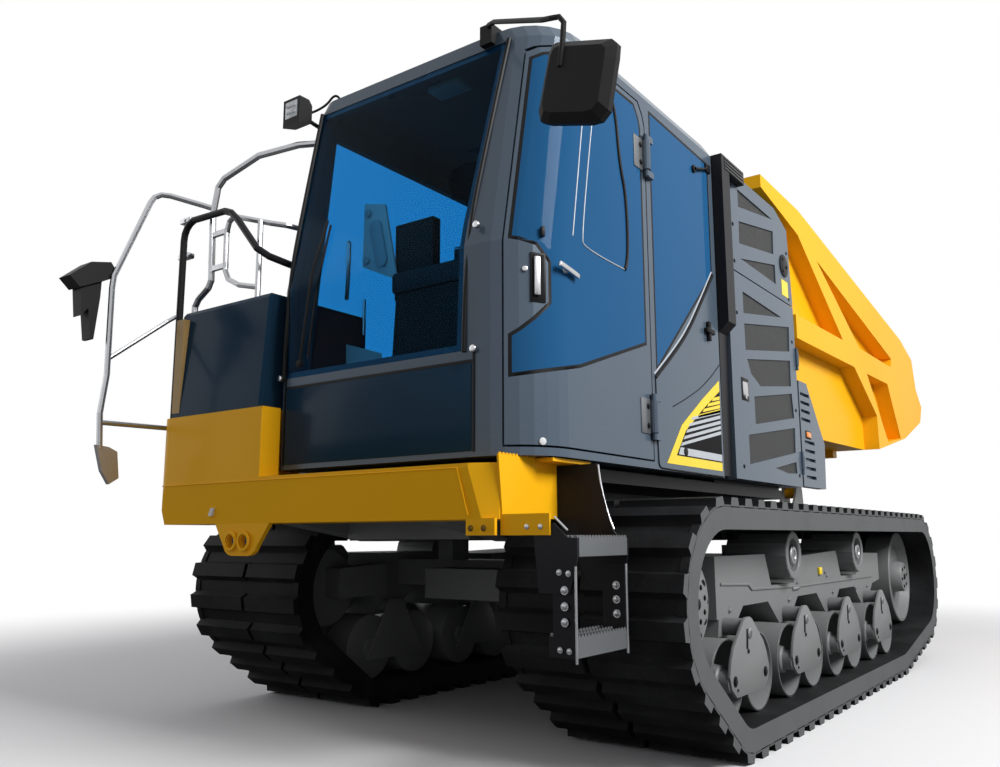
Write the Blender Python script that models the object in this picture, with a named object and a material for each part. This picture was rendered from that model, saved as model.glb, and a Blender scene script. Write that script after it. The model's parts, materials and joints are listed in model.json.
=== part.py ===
"""Crawler carrier: a dump truck on two rubber tracks, with a cab at its left front corner.

Units are metres, +Z is up and the ground is Z = 0. The machine drives towards -Y and its
left side is +X. Lengths along Y are measured from the middle of the road rollers, and one
empty at the end of the script carries the whole machine to the middle of its length.
"""

import math

import bmesh
import bpy
from mathutils import Matrix, Vector

# General fits
GAP = 0.0003                # between pieces that are bolted or rest on each other
RUNNING_GAP = 0.008         # round a panel or a piece that moves
BITE = 0.004                # how far one welded member enters the next
PLATE = 0.008               # heavy plate
BAR_FLAT = math.cos(math.pi / 8)    # from an eight-sided bar's middle to its flats, per radius

# Rubber tracks: the belt runs round four circles, one row each: Y, Z, radius at the lugs' tips
BELT_CENTRE_X = 0.99
BELT_WIDTH = 0.80
LUG_DEPTH = 0.035
LUG_PITCH = 0.150
CARCASS = 0.0895
SPROCKET_Y = -1.525
SPROCKET_Z = 0.60
SPROCKET_TIP_RADIUS = 0.41
IDLER_Y = 2.10
IDLER_Z = 0.57
IDLER_TIP_RADIUS = 0.44
ROLLER_RADIUS = 0.165
ROLLER_Z = ROLLER_RADIUS + CARCASS + LUG_DEPTH
BOGIE_PITCH = 0.759
BOGIE_COUNT = 4
ROLLER_SPREAD = 0.1755      # half the distance between a bogie's two rollers
FIRST_ROLLER_Y = -1.5 * BOGIE_PITCH - ROLLER_SPREAD
LAST_ROLLER_Y = -FIRST_ROLLER_Y
BELT_CIRCLES = [
    (SPROCKET_Y, SPROCKET_Z, SPROCKET_TIP_RADIUS),
    (FIRST_ROLLER_Y, ROLLER_Z, ROLLER_Z),
    (LAST_ROLLER_Y, ROLLER_Z, ROLLER_Z),
    (IDLER_Y, IDLER_Z, IDLER_TIP_RADIUS),
]
BELT_SEAT = 0.0022          # how far wheels stay inside the belt's inner line, which has flats
SPROCKET_RADIUS = SPROCKET_TIP_RADIUS - LUG_DEPTH - CARCASS - BELT_SEAT
IDLER_RADIUS = IDLER_TIP_RADIUS - LUG_DEPTH - CARCASS - BELT_SEAT
HUB_RADIUS = 0.20

# Road rollers and bogies, along X from the machine's middle
RIM_OUT_X = 1.283
RIM_IN_X = 0.69
RIM_WIDTH = 0.17
RIM_DISH = 0.05
ROLLER_SIDES = 12
ROLLER_TUBE_RADIUS = 0.075
AXLE_RADIUS = 0.045
BOGIE_PLATE = 0.014
BOGIE_PLATE_X = 1.300
BOGIE_PIVOT_Z = 0.485
BOGIE_PIVOT_RADIUS = 0.036
BOGIE_PEAK_Z = 0.525

# Track frame
FRAME_IN_X = 0.76
FRAME_OUT_X = 1.21
FRAME_FRONT_Y = -1.22
FRAME_REAR_Y = 1.55
FRAME_TOP_Z = 0.775
FRAME_LOW_Z = 0.575
FRAME_LOBE_Z = 0.445
FRAME_LOBE_HALF = 0.075
CARRIER_RADIUS = 0.12
CARRIER_Z = IDLER_Z + IDLER_TIP_RADIUS - LUG_DEPTH - CARCASS - CARRIER_RADIUS
CARRIER_Y = (-0.374, 0.817)
CARRIER_WIDTH = 0.30

# Main frame
BEAM_X = 0.42               # middle of each longitudinal beam
BEAM_WIDTH = 0.12
BEAM_LOW_Z = 0.84
BEAM_TOP_Z = 1.08
BEAM_REAR_Y = 2.40
CROSS_Y = (-1.75, -0.95, 0.10, 1.15)
CROSS_TOP_Z = 0.98
AXLE_BEAM_Y = (-0.95, 1.15)
AXLE_BEAM_Z = (0.60, 0.74)
BELLY_Z = 0.55
BELLY_TOP_Z = 0.70
DECK_TOP_Z = 1.135
DECK_RIGHT_X = -0.985
DECK_REAR_Y = 0.62
EAR = 0.016
EAR_RADIUS = 0.075

# Front beam, its steps and the rails on it
NOSE_Y = -2.374
NOSE_DEPTH = 0.26
NOSE_LOW_Z = 0.92
NOSE_CREASE_Z = 1.10        # below this the beam's face and its right end lean inwards
NOSE_LEAN = 0.022
NOSE_TOP_Z = 1.115
NOSE_LEFT_X = 0.80
NOSE_RIGHT_X = -1.065
NOSE_CORNER = 0.07
NOSE_BOX_LEFT_X = -0.316
NOSE_BOX_TOP_Z = 1.417
TOW_EYES_X = (-0.515, -0.427)
TOW_EYE_Z = 0.845
LOCKER_RIGHT_X = -1.0
LOCKER_TOP_Z = 1.94
LOCKER_REAR_Y = -1.72
HOOP_X = -1.03
HOOP_Y = -2.33
HOOP_RADIUS = 0.017
RAILS_Y = -2.285
RAIL_RADIUS = 0.016
SECOND_RAIL_RADIUS = 0.013
STAY_X = -1.10
STAY_RADIUS = 0.014
APRON_X = 0.90
APRON_REAR_Y = -1.84
APRON_LOW_Z = 0.925
LADDER_Y = (-2.31, -1.96)
# One row for each tread: inner X, outer X, Z of its top, depth of its face
TREADS = [
    (1.08, 1.20, 0.856, 0.062),
    (1.085, 1.19, 0.54, 0.065),
]

# Cab
CAB_LEFT_X = 1.003
CAB_RIGHT_X = -0.36
CAB_REAR_Y = -0.55
CAB_LOW_Z = 1.147
CAB_WALL = 0.045
CAB_LEFT_RADIUS = 0.24
CAB_RIGHT_RADIUS = 0.07
# One row for each level: Z, the front's Y there, how far the sides draw in
CAB_LEVELS = [
    (1.147, -2.27, 0.0),
    (1.95, -2.27, 0.0),
    (2.86, -2.095, 0.0),
    (2.92, -2.085, 0.035),
    (2.955, -2.03, 0.12),
]
PANE = 0.006
PANE_LAP = 0.026            # how far a bonded pane laps over the edge of its opening
FAR_OUT = 1.6               # beyond every wall of the cab
DOOR_REAR_Y = -1.335
DOOR_LOW_Z = 1.185
DOOR_TOP_Z = 2.815
DOOR_FRONT_X = 0.865
DOOR_RIM = 0.02             # from the door's edge to its pane
DOOR_KNUCKLE = 0.019
DOOR_KNUCKLE_HALF = 0.07
DOOR_HINGES_Z = (1.37, 2.57)
DOOR_HINGE = (CAB_LEFT_X + DOOR_KNUCKLE - 0.004, DOOR_REAR_Y - DOOR_KNUCKLE + 0.006)

# Engine cover behind the cab
COVER_X = 1.02
COVER_RIGHT_X = -0.36
COVER_FRONT_Y = -0.43
COVER_REAR_Y = 0.655
COVER_LOW_Z = 1.15
COVER_TOP_Z = 2.86
COVER_BEND_Y = 0.388
COVER_SHOULDER = (0.612, COVER_TOP_Z - 0.081)
COVER_SPLIT_Z = 2.285
COVER_DOOR = 0.035
COVER_HINGE = (COVER_X + 0.006, COVER_REAR_Y + 0.005)
COVER_HINGES_Z = (1.30, 1.95)
COVER_KNUCKLE = 0.04        # half the length of a hinge's moving knuckle
MESH_DEPTH = 0.010          # how deep the mesh lies in its windows
# Corners of each window, as Y and the height above the lower edge of its own cover
UPPER_WINDOWS = [
    [(-0.22, 0.389), (0.35, 0.486), (-0.22, 0.493)],
    [(-0.23, 0.173), (0.338, 0.261), (0.35, 0.409), (-0.223, 0.304)],
    [(-0.225, 0.087), (0.355, 0.077), (0.355, 0.197)],
]
LOWER_WINDOWS = [
    [(-0.216, 0.915), (0.422, 1.020), (-0.216, 1.038)],
    [(-0.211, 0.709), (0.537, 0.827), (0.556, 0.985), (-0.214, 0.857)],
    [(-0.146, 0.587), (-0.003, 0.536), (0.531, 0.609), (0.539, 0.770), (-0.195, 0.661)],
    [(-0.112, 0.311), (0.558, 0.416), (0.536, 0.564), (-0.114, 0.464)],
    [(-0.225, 0.085), (0.548, 0.203), (0.560, 0.356), (-0.226, 0.242)],
    [(0.176, 0.089), (0.398, 0.070), (0.558, 0.079), (0.551, 0.148)],
]

# Slatted cover behind the engine room
LOUVRE_FRONT_Y = COVER_REAR_Y + 0.025
LOUVRE_DEPTH = 0.055
SLOT_HEIGHT = 0.020
# One row for each bank of slots: first Z, last Z, how many, front Y, rear Y
SLOT_BANKS = [
    (1.57, 1.73, 4, 0.70, 0.88),
    (1.21, 1.43, 5, 0.74, 0.94),
]

# Air duct between the cab and the engine cover
DUCT_X = (0.93, 1.06)
DUCT_TOP_Z = COVER_TOP_Z + 0.008     # its cap laps over the cover's top
DUCT_LOW_Z = COVER_LOW_Z + 0.01

# Bed
WHOLE_WIDTH = (-2.0, 2.0)     # wide and high enough to pass right through the bed
WHOLE_HEIGHT = (0.5, 4.0)
BED_FRONT_X = 1.0           # outer face of the side ribs at the bed's front
BED_TAPER = 0.0517          # how much each side widens for each metre towards the rear
BED_LIP_Y = 0.235
BED_FRONT_Y = 0.73
BED_RIB = 0.11
BED_WALL = 0.010
BED_FLOOR_Z = 1.51
HINGE_Y = 2.30
HINGE_Z = 1.20
BOSS_RADIUS = 0.045

# Tipping rams: Y and Z of the barrel's pin on the frame and of the rod's eye under the bed
RAM_X = 0.20
RAM_FOOT = (0.70, 0.80)
RAM_EYE = (1.50, 1.40)
RAM_BARREL = 0.86           # from the foot's pin to the barrel's mouth
RAM_BARREL_RADIUS = 0.062
RAM_NECK_RADIUS = 0.038
RAM_ROD_RADIUS = 0.035
RAM_BORE_CLEARANCE = 0.002
RAM_BOSS_RADIUS = 0.048
RAM_BOSS_WIDTH = 0.082

# The front-most and rear-most places, which give the middle of the machine's length
FRONT_END_Y = -2.84
REAR_END_Y = 3.655
MIDDLE_Y = (FRONT_END_Y + REAR_END_Y) / 2

MATERIALS = {
    # name: colour, roughness, metallic
    "yellow_paint": ((0.90, 0.52, 0.03), 0.35, 0.0),
    "grey_paint": ((0.075, 0.085, 0.105), 0.32, 0.35),
    "black_paint": ((0.015, 0.015, 0.017), 0.45, 0.0),
    "undercarriage_paint": ((0.10, 0.105, 0.11), 0.55, 0.2),
    "rubber": ((0.028, 0.028, 0.030), 0.85, 0.0),
    "tinted_glass": ((0.03, 0.06, 0.12), 0.08, 0.0),
    "steel_tube": ((0.55, 0.56, 0.58), 0.25, 0.9),
    "black_plastic": ((0.02, 0.02, 0.022), 0.5, 0.0),
    "seat_cloth": ((0.05, 0.05, 0.055), 0.9, 0.0),
    "rod_chrome": ((0.75, 0.75, 0.76), 0.12, 1.0),
    "lamp_glass": ((0.8, 0.8, 0.78), 0.1, 0.0),
}


def clear_scene():
    """Remove what the file holds, so that the script starts from nothing."""
    for thing in list(bpy.data.objects):
        bpy.data.objects.remove(thing)


def material(name):
    """Return the named paint or rubber, made the first time it is asked for."""
    found = bpy.data.materials.get(name)
    if found:
        return found
    colour, roughness, metallic = MATERIALS[name]
    made = bpy.data.materials.new(name)
    made.use_nodes = True
    shader = made.node_tree.nodes["Principled BSDF"]
    shader.inputs["Base Color"].default_value = (*colour, 1.0)
    shader.inputs["Roughness"].default_value = roughness
    shader.inputs["Metallic"].default_value = metallic
    return made


def empty(name, place, parent=None):
    """Add a named point that pieces hang on, such as a joint's axis."""
    point = bpy.data.objects.new(name, None)
    bpy.context.scene.collection.objects.link(point)
    point.location = Vector(place)
    point.parent = parent
    return point


def solid(mesh_maker):
    """Turn a bmesh into an object whose faces point outwards."""
    bmesh.ops.remove_doubles(mesh_maker, verts=mesh_maker.verts, dist=1e-6)
    bmesh.ops.recalc_face_normals(mesh_maker, faces=mesh_maker.faces)
    mesh = bpy.data.meshes.new("shape")
    mesh_maker.to_mesh(mesh)
    mesh_maker.free()
    thing = bpy.data.objects.new("shape", mesh)
    bpy.context.scene.collection.objects.link(thing)
    return thing


def from_plane(axis, a, b, along):
    """Return the point with plane coordinates a and b at a distance along the axis."""
    if axis == "X":
        return Vector((along, a, b))
    if axis == "Y":
        return Vector((a, along, b))
    return Vector((a, b, along))


def prism(outline, axis, low, high):
    """Extrude a closed outline from low to high. X takes (Y, Z), Y takes (X, Z), Z takes (X, Y)."""
    bm = bmesh.new()
    base = bm.faces.new([bm.verts.new(from_plane(axis, a, b, low)) for a, b in outline])
    grown = bmesh.ops.extrude_face_region(bm, geom=[base])
    moved = [g for g in grown["geom"] if isinstance(g, bmesh.types.BMVert)]
    bmesh.ops.translate(bm, verts=moved, vec=from_plane(axis, 0, 0, high - low))
    return solid(bm)


def tapered(outline, axis, stations, share):
    """Make a block with straight sides between two stations and drawn in towards the third."""
    bm = bmesh.new()
    count = len(outline)
    mid = [sum(point[i] for point in outline) / count for i in (0, 1)]
    rings = []
    for along, scale in zip(stations, (1.0, 1.0, share)):
        rings.append([bm.verts.new(from_plane(axis, mid[0] + (a - mid[0]) * scale,
                                              mid[1] + (b - mid[1]) * scale, along)) for a, b in outline])
    for near, far in zip(rings, rings[1:]):
        for i in range(count):
            j = (i + 1) % count
            bm.faces.new((near[i], near[j], far[j], far[i]))
    bm.faces.new(rings[0])
    bm.faces.new(rings[-1])
    return solid(bm)


def box(x, y, z):
    """Make a block from three (low, high) pairs."""
    outline = [(y[0], z[0]), (y[1], z[0]), (y[1], z[1]), (y[0], z[1])]
    return prism(outline, "X", x[0], x[1])


def turned(profile, centre, axis="X", sides=24):
    """Spin a profile of (distance along the axis, radius) round an axis through the centre."""
    bm = bmesh.new()
    side_way = {"X": Vector((0, 0, 1)), "Y": Vector((1, 0, 0)), "Z": Vector((1, 0, 0))}[axis]
    main_way = {"X": Vector((1, 0, 0)), "Y": Vector((0, 1, 0)), "Z": Vector((0, 0, 1))}[axis]
    centre = Vector(centre)
    row = [bm.verts.new(centre + main_way * along + side_way * radius) for along, radius in profile]
    edges = [bm.edges.new(pair) for pair in zip(row, row[1:])]
    bmesh.ops.spin(bm, geom=row + edges, cent=centre, axis=main_way, angle=math.tau,
                   steps=sides, use_merge=True)
    return solid(bm)


def disc(along, centre, radius, axis="X", sides=24):
    """Make a plain cylinder between two distances along an axis."""
    profile = [(along[0], 0), (along[0], radius), (along[1], radius), (along[1], 0)]
    return turned(profile, centre, axis, sides)


def evaluated_mesh(thing):
    """Return the mesh that an object's modifiers or its bevel make."""
    graph = bpy.context.evaluated_depsgraph_get()
    return bpy.data.meshes.new_from_object(thing.evaluated_get(graph))


def tube(route, radius, sides=8):
    """Make a round bar along a route of points, with filled ends."""
    curve = bpy.data.curves.new("route", "CURVE")
    curve.dimensions = "3D"
    curve.bevel_depth = radius
    curve.bevel_resolution = sides // 2 - 2
    curve.use_fill_caps = True
    line = curve.splines.new("POLY")
    line.points.add(len(route) - 1)
    for point, place in zip(line.points, route):
        point.co = (*place, 1.0)
    thing = bpy.data.objects.new("bar", curve)
    bpy.context.scene.collection.objects.link(thing)
    bm = bmesh.new()
    bm.from_mesh(evaluated_mesh(thing))
    bpy.data.objects.remove(thing)
    return solid(bm)


def combine(base, tools, operation):
    """Join tools to the base, or cut them from it, one after another."""
    for tool in tools:
        change = base.modifiers.new("change", "BOOLEAN")
        change.operation = operation
        change.solver = "EXACT"
        change.object = tool
        mesh = evaluated_mesh(base)
        base.modifiers.clear()
        base.data = mesh
        bpy.data.objects.remove(tool)
    return base


def joined(base, *tools):
    return combine(base, tools, "UNION")


def cut(base, *tools):
    return combine(base, tools, "DIFFERENCE")


def overlap(base, *tools):
    return combine(base, tools, "INTERSECT")


def keep(thing, name, paint, parent):
    """Name a finished piece, paint it and hang it on what carries it."""
    thing.name = name
    thing.data.name = name
    thing.data.materials.clear()
    thing.data.materials.append(material(paint))
    thing.data.shade_smooth()
    thing.data.set_sharp_from_angle(angle=math.radians(35))
    if parent.parent:
        thing.data.transform(Matrix.Translation(-parent.location))
    thing.parent = parent
    return thing


def arc(centre, radius, start, end, steps):
    """List points on an arc, in degrees from the first plane axis towards the second."""
    turns = [math.radians(start + (end - start) * i / steps) for i in range(steps + 1)]
    return [(centre[0] + radius * math.cos(t), centre[1] + radius * math.sin(t)) for t in turns]


def mirrored(points, side):
    """Return X positions for the left side, or their mirror image for the right one."""
    return sorted(side * x for x in points)


# Tracks

def belt_pieces():
    """Return the belt's outer line as arcs and straight runs, each with its length."""
    pieces = []
    count = len(BELT_CIRCLES)
    normals = []
    for i in range(count):
        y1, z1, r1 = BELT_CIRCLES[i]
        y2, z2, r2 = BELT_CIRCLES[(i + 1) % count]
        way = math.atan2(z2 - z1, y2 - y1)
        lean = math.acos((r1 - r2) / math.hypot(y2 - y1, z2 - z1))
        normals.append(way - lean)
    for i in range(count):
        y, z, r = BELT_CIRCLES[i]
        first, last = normals[i - 1], normals[i]
        while last < first:
            last += math.tau
        r = r - LUG_DEPTH
        pieces.append(("arc", (y, z), r, first, last, r * (last - first)))
        y2, z2, r2 = BELT_CIRCLES[(i + 1) % count]
        run = math.sqrt((y2 - y) ** 2 + (z2 - z) ** 2 - (r2 - LUG_DEPTH - r) ** 2)
        pieces.append(("run", (y, z), r, normals[i], normals[i], run))
    return pieces


def belt_point(pieces, distance, outward):
    """Return (Y, Z) at a distance along the belt, moved outward from the lugs' roots."""
    for kind, (y, z), r, first, last, length in pieces:
        if distance <= length:
            turn = first + (last - first) * distance / length
            ahead = distance if kind == "run" else 0.0
            reach = r + outward
            return (y + reach * math.cos(turn) - ahead * math.sin(turn),
                    z + reach * math.sin(turn) + ahead * math.cos(turn))
        distance -= length
    return belt_point(pieces, distance, outward)


def track(side):
    """One closed belt whose outer line steps out at each lug."""
    pieces = belt_pieces()
    around = sum(piece[-1] for piece in pieces)
    lugs = round(around / LUG_PITCH)
    pitch = around / lugs
    # Where each lug's corners stand: share of the pitch, height over the root
    corners = [(0.00, 0.0), (0.10, LUG_DEPTH), (0.52, LUG_DEPTH), (0.62, 0.0)]
    low, high = mirrored((BELT_CENTRE_X - BELT_WIDTH / 2, BELT_CENTRE_X + BELT_WIDTH / 2), side)
    outer, inner = [], []
    for i in range(lugs):
        outer += [belt_point(pieces, (i + share) * pitch, height) for share, height in corners]
        inner += [belt_point(pieces, (i + share) * pitch, -CARCASS) for share in (0.05, 0.57)]
    bm = bmesh.new()
    rows = [[bm.verts.new((x, y, z)) for y, z in points]
            for points, x in ((outer, low), (outer, high), (inner, high), (inner, low))]
    tops = len(corners)
    for i in range(len(outer)):
        j = (i + 1) % len(outer)
        bm.faces.new((rows[0][i], rows[0][j], rows[1][j], rows[1][i]))
    for i in range(len(inner)):
        j = (i + 1) % len(inner)
        bm.faces.new((rows[3][i], rows[2][i], rows[2][j], rows[3][j]))
        first = i // 2 * tops + (i % 2) * 2
        for edge, core in ((rows[0], rows[3]), (rows[1], rows[2])):
            a, b, c = (edge[(first + step) % len(outer)] for step in (0, 1, 2))
            bm.faces.new((a, b, core[i]))
            bm.faces.new((b, c, core[j], core[i]))
    return solid(bm)


def road_roller(y, side):
    """A spool with two dished rims that run either side of the belt's guide lugs."""
    rim = ROLLER_RADIUS - (BELT_SEAT if abs(y) > LAST_ROLLER_Y - 0.01 else GAP)
    profile = [
        (RIM_IN_X - 0.02, 0.0), (RIM_IN_X - 0.02, AXLE_RADIUS), (RIM_IN_X, rim),
        (RIM_IN_X + RIM_WIDTH, rim), (RIM_IN_X + RIM_WIDTH, ROLLER_TUBE_RADIUS),
        (RIM_OUT_X - RIM_WIDTH, ROLLER_TUBE_RADIUS), (RIM_OUT_X - RIM_WIDTH, rim),
        (RIM_OUT_X, rim), (RIM_OUT_X - RIM_DISH, rim - 0.03),
        (RIM_OUT_X - RIM_DISH, AXLE_RADIUS), (BOGIE_PLATE_X + BITE, AXLE_RADIUS),
        (BOGIE_PLATE_X + BITE, 0.0),
    ]
    return turned([(side * x, r) for x, r in profile], (0, y, ROLLER_Z), "X", ROLLER_SIDES)


def bogie(y, side):
    """Two rollers between a shield-shaped plate and a plain inner one, on a cross pin."""
    low = ROLLER_Z - AXLE_RADIUS - 0.02
    reach = ROLLER_SPREAD
    shield = [
        (y - reach + 0.02, low), (y + reach - 0.02, low), (y + reach + 0.045, ROLLER_Z + 0.02),
        (y + reach - 0.01, ROLLER_Z + 0.13), (y + 0.03, BOGIE_PEAK_Z), (y - 0.03, BOGIE_PEAK_Z),
        (y - reach + 0.01, ROLLER_Z + 0.13), (y - reach - 0.045, ROLLER_Z + 0.02),
    ]
    rocker = [(y - reach - 0.05, low), (y + reach + 0.05, low), (y + 0.05, BOGIE_PEAK_Z),
              (y - 0.05, BOGIE_PEAK_Z)]
    outer = (BOGIE_PLATE_X, BOGIE_PLATE_X + BOGIE_PLATE)
    inner = (RIM_IN_X - 0.01 - BOGIE_PLATE, RIM_IN_X - 0.01)
    frame = prism(shield, "X", *mirrored(outer, side))
    other = prism(rocker, "X", *mirrored(inner, side))
    pin = disc(mirrored((inner[0] + BITE, outer[1] - BITE), side), (0, y, BOGIE_PIVOT_Z),
               BOGIE_PIVOT_RADIUS, "X", 8)
    rollers = [road_roller(y - reach, side), road_roller(y + reach, side)]
    return joined(frame, pin, other, *rollers)


def bogie_places():
    first = -(BOGIE_COUNT - 1) / 2 * BOGIE_PITCH
    return [first + i * BOGIE_PITCH for i in range(BOGIE_COUNT)]


def track_frame(side):
    """A deep plate beam with a lobe over each bogie's pin and a notch under each top roller."""
    outline = [(FRAME_FRONT_Y, FRAME_TOP_Z), (FRAME_FRONT_Y, FRAME_LOW_Z - 0.06)]
    for y in bogie_places():
        outline += [(y - 0.22, FRAME_LOW_Z - 0.02), (y - FRAME_LOBE_HALF, FRAME_LOBE_Z),
                    (y + FRAME_LOBE_HALF, FRAME_LOBE_Z), (y + 0.22, FRAME_LOW_Z - 0.02)]
    outline[2] = (FRAME_FRONT_Y + 0.02, FRAME_LOW_Z - 0.06)
    outline += [(FRAME_REAR_Y, FRAME_LOW_Z), (FRAME_REAR_Y, FRAME_TOP_Z - 0.03)]
    for y in reversed(CARRIER_Y):
        outline += [(y + 0.24, FRAME_TOP_Z - 0.02), (y + 0.17, CARRIER_Z - 0.14),
                    (y - 0.17, CARRIER_Z - 0.14), (y - 0.24, FRAME_TOP_Z)]
    x = mirrored((FRAME_IN_X, FRAME_OUT_X), side)
    beam = prism(outline, "X", *x)
    bores = [disc((x[0] - 0.01, x[1] + 0.01), (0, y, BOGIE_PIVOT_Z), BOGIE_PIVOT_RADIUS + GAP,
                  "X", 8) for y in bogie_places()]
    beam = cut(beam, *bores)
    nose = prism([(FRAME_FRONT_Y + 0.05, SPROCKET_Z - 0.05), (FRAME_FRONT_Y + 0.05, SPROCKET_Z + 0.12),
                  (SPROCKET_Y, SPROCKET_Z + 0.10), (SPROCKET_Y, SPROCKET_Z - 0.05)], "X",
                 *mirrored((FRAME_IN_X - 0.05, FRAME_IN_X + 0.05), side))
    arm = prism([(FRAME_REAR_Y - 0.05, IDLER_Z + 0.02), (IDLER_Y, IDLER_Z - 0.06),
                 (IDLER_Y, IDLER_Z + 0.08), (FRAME_REAR_Y - 0.05, IDLER_Z + 0.12)], "X",
                *mirrored((FRAME_IN_X - 0.05, FRAME_IN_X + 0.04), side))
    top_rollers = []
    for y in CARRIER_Y:
        half = CARRIER_WIDTH / 2
        middle = BELT_CENTRE_X + 0.13
        profile = [(middle - half, 0), (middle - half, CARRIER_RADIUS - GAP),
                   (middle + half, CARRIER_RADIUS - GAP), (middle + half, CARRIER_RADIUS - 0.02),
                   (middle + half - 0.03, CARRIER_RADIUS - 0.035), (middle + half - 0.03, 0.045),
                   (middle + half, 0.035), (middle + half, 0)]
        top_rollers.append(turned([(side * a, r) for a, r in profile], (0, y, CARRIER_Z), "X", 12))
        top_rollers.append(box(mirrored((middle - half - 0.05, middle - half + BITE), side),
                               (y - 0.05, y + 0.05), (CARRIER_Z - 0.20, CARRIER_Z + 0.05)))
    return joined(beam, nose, arm, *top_rollers)


def sprocket(side):
    """The driven drum with two toothed rings and the round hub of its final drive."""
    teeth = 12
    ring = []
    for i in range(teeth):
        for share, drop in ((0.0, 0.03), (0.30, 0.0), (0.65, 0.0)):
            turn = (i + share) * math.tau / teeth
            radius = SPROCKET_RADIUS - drop
            ring.append((SPROCKET_Y + radius * math.cos(turn), SPROCKET_Z + radius * math.sin(turn)))
    start = FRAME_IN_X + 0.05 + GAP
    profile = [(start, 0), (start, HUB_RADIUS), (RIM_OUT_X - 0.07, HUB_RADIUS),
               (RIM_OUT_X - 0.05, HUB_RADIUS - 0.03), (RIM_OUT_X - 0.05, 0.10),
               (RIM_OUT_X - 0.02, 0.09), (RIM_OUT_X - 0.02, 0)]
    hub = turned([(side * x, r) for x, r in profile], (0, SPROCKET_Y, SPROCKET_Z), "X", 16)
    rings = [prism(ring, "X", *mirrored((BELT_CENTRE_X + x - 0.02, BELT_CENTRE_X + x + 0.02), side))
             for x in (-0.09, 0.09)]
    return joined(hub, *rings)


def idler(side):
    """The plain rear wheel, dished on its outer face, with a round hub cap."""
    start = FRAME_IN_X + 0.04 + GAP
    rim = IDLER_RADIUS
    profile = [(start, 0), (start, 0.07), (start + 0.05, 0.07), (start + 0.05, rim),
               (BELT_CENTRE_X - 0.06, rim), (BELT_CENTRE_X - 0.06, rim - 0.05),
               (BELT_CENTRE_X + 0.06, rim - 0.05), (BELT_CENTRE_X + 0.06, rim),
               (RIM_OUT_X - 0.06, rim), (RIM_OUT_X - 0.06, rim - 0.02), (RIM_OUT_X - 0.12, rim - 0.05),
               (RIM_OUT_X - 0.12, 0.11), (RIM_OUT_X - 0.03, 0.095), (RIM_OUT_X - 0.03, 0)]
    return turned([(side * x, r) for x, r in profile], (0, IDLER_Y, IDLER_Z), "X", 18)


# Main frame, deck and front beam

def main_frame():
    """Two deep beams with cross members, axle beams, a belly box and the bed's hinge ears."""
    front = NOSE_Y + NOSE_DEPTH + GAP
    side_view = [(front, BEAM_LOW_Z + 0.08), (front + 0.5, BEAM_LOW_Z), (BEAM_REAR_Y - 0.12, BEAM_LOW_Z),
                 (BEAM_REAR_Y, BEAM_LOW_Z + 0.10), (BEAM_REAR_Y, BEAM_TOP_Z), (front, BEAM_TOP_Z)]
    ear_view = [(HINGE_Y - EAR_RADIUS - 0.10, BEAM_TOP_Z - BITE)]
    ear_view += arc((HINGE_Y, HINGE_Z), EAR_RADIUS, 180, 0, 8)
    ear_view += [(HINGE_Y + EAR_RADIUS + 0.02, BEAM_TOP_Z - BITE)]
    pieces = []
    for side in (1, -1):
        x = mirrored((BEAM_X - BEAM_WIDTH / 2, BEAM_X + BEAM_WIDTH / 2), side)
        pieces.append(prism(side_view, "X", *x))
        pieces.append(prism(ear_view, "X", x[0], x[0] + EAR))
        pieces.append(prism(ear_view, "X", x[1] - EAR, x[1]))
    inner = BEAM_X - BEAM_WIDTH / 2 + BITE
    for y in CROSS_Y:
        pieces.append(box((-inner, inner), (y - 0.06, y + 0.06), (BEAM_LOW_Z + 0.01, CROSS_TOP_Z)))
    reach = FRAME_IN_X - GAP
    for y in AXLE_BEAM_Y:
        pieces.append(box((-reach, reach), (y - 0.08, y + 0.08), AXLE_BEAM_Z))
        for middle in (-BEAM_X, BEAM_X):
            pieces.append(box((middle - 0.05, middle + 0.05), (y - 0.07, y + 0.07),
                              (AXLE_BEAM_Z[1] - BITE, BEAM_LOW_Z + BITE)))
    pieces.append(box((-0.36 - BITE, 0.36 + BITE), (AXLE_BEAM_Y[0] - 0.3, AXLE_BEAM_Y[1] + 0.3),
                      (BELLY_Z, BELLY_TOP_Z)))
    foot_y, foot_z = RAM_FOOT
    pieces.append(box((-inner, inner), (foot_y - 0.20, foot_y - 0.07), (foot_z - 0.06, foot_z + 0.10)))
    for middle in (-RAM_X, RAM_X):
        for edge in (-1, 1):
            near = middle + edge * (RAM_BOSS_WIDTH / 2 + 0.0005)
            far = near + edge * EAR
            view = [(foot_y - 0.08, foot_z - 0.055), (foot_y - 0.08, foot_z + 0.08)]
            view += arc(RAM_FOOT, RAM_BOSS_RADIUS, 90, -90, 6)
            pieces.append(prism(view, "X", *sorted((near, far))))
    return joined(pieces[0], *pieces[1:])


def deck():
    """The floor plate under the cab, the engine cover and the right-hand tank, with cab mounts."""
    front = NOSE_Y + NOSE_DEPTH + GAP
    left = APRON_X - GAP
    plate = box((DECK_RIGHT_X, left), (front, DECK_REAR_Y), (BEAM_TOP_Z + GAP, DECK_TOP_Z))
    mounts = [disc((DECK_TOP_Z - BITE, CAB_LOW_Z - GAP), (x, y, 0), 0.06, "Z", 8)
              for x in (CAB_RIGHT_X + 0.15, CAB_LEFT_X - 0.20) for y in (front + 0.2, CAB_REAR_Y - 0.2)]
    feet = [box((x - 0.08, x + 0.08), (COVER_FRONT_Y + 0.02, COVER_REAR_Y - 0.06),
                (DECK_TOP_Z - BITE, COVER_LOW_Z - GAP)) for x in (COVER_RIGHT_X + 0.12, left - 0.09)]
    return joined(plate, *mounts, *feet)


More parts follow.
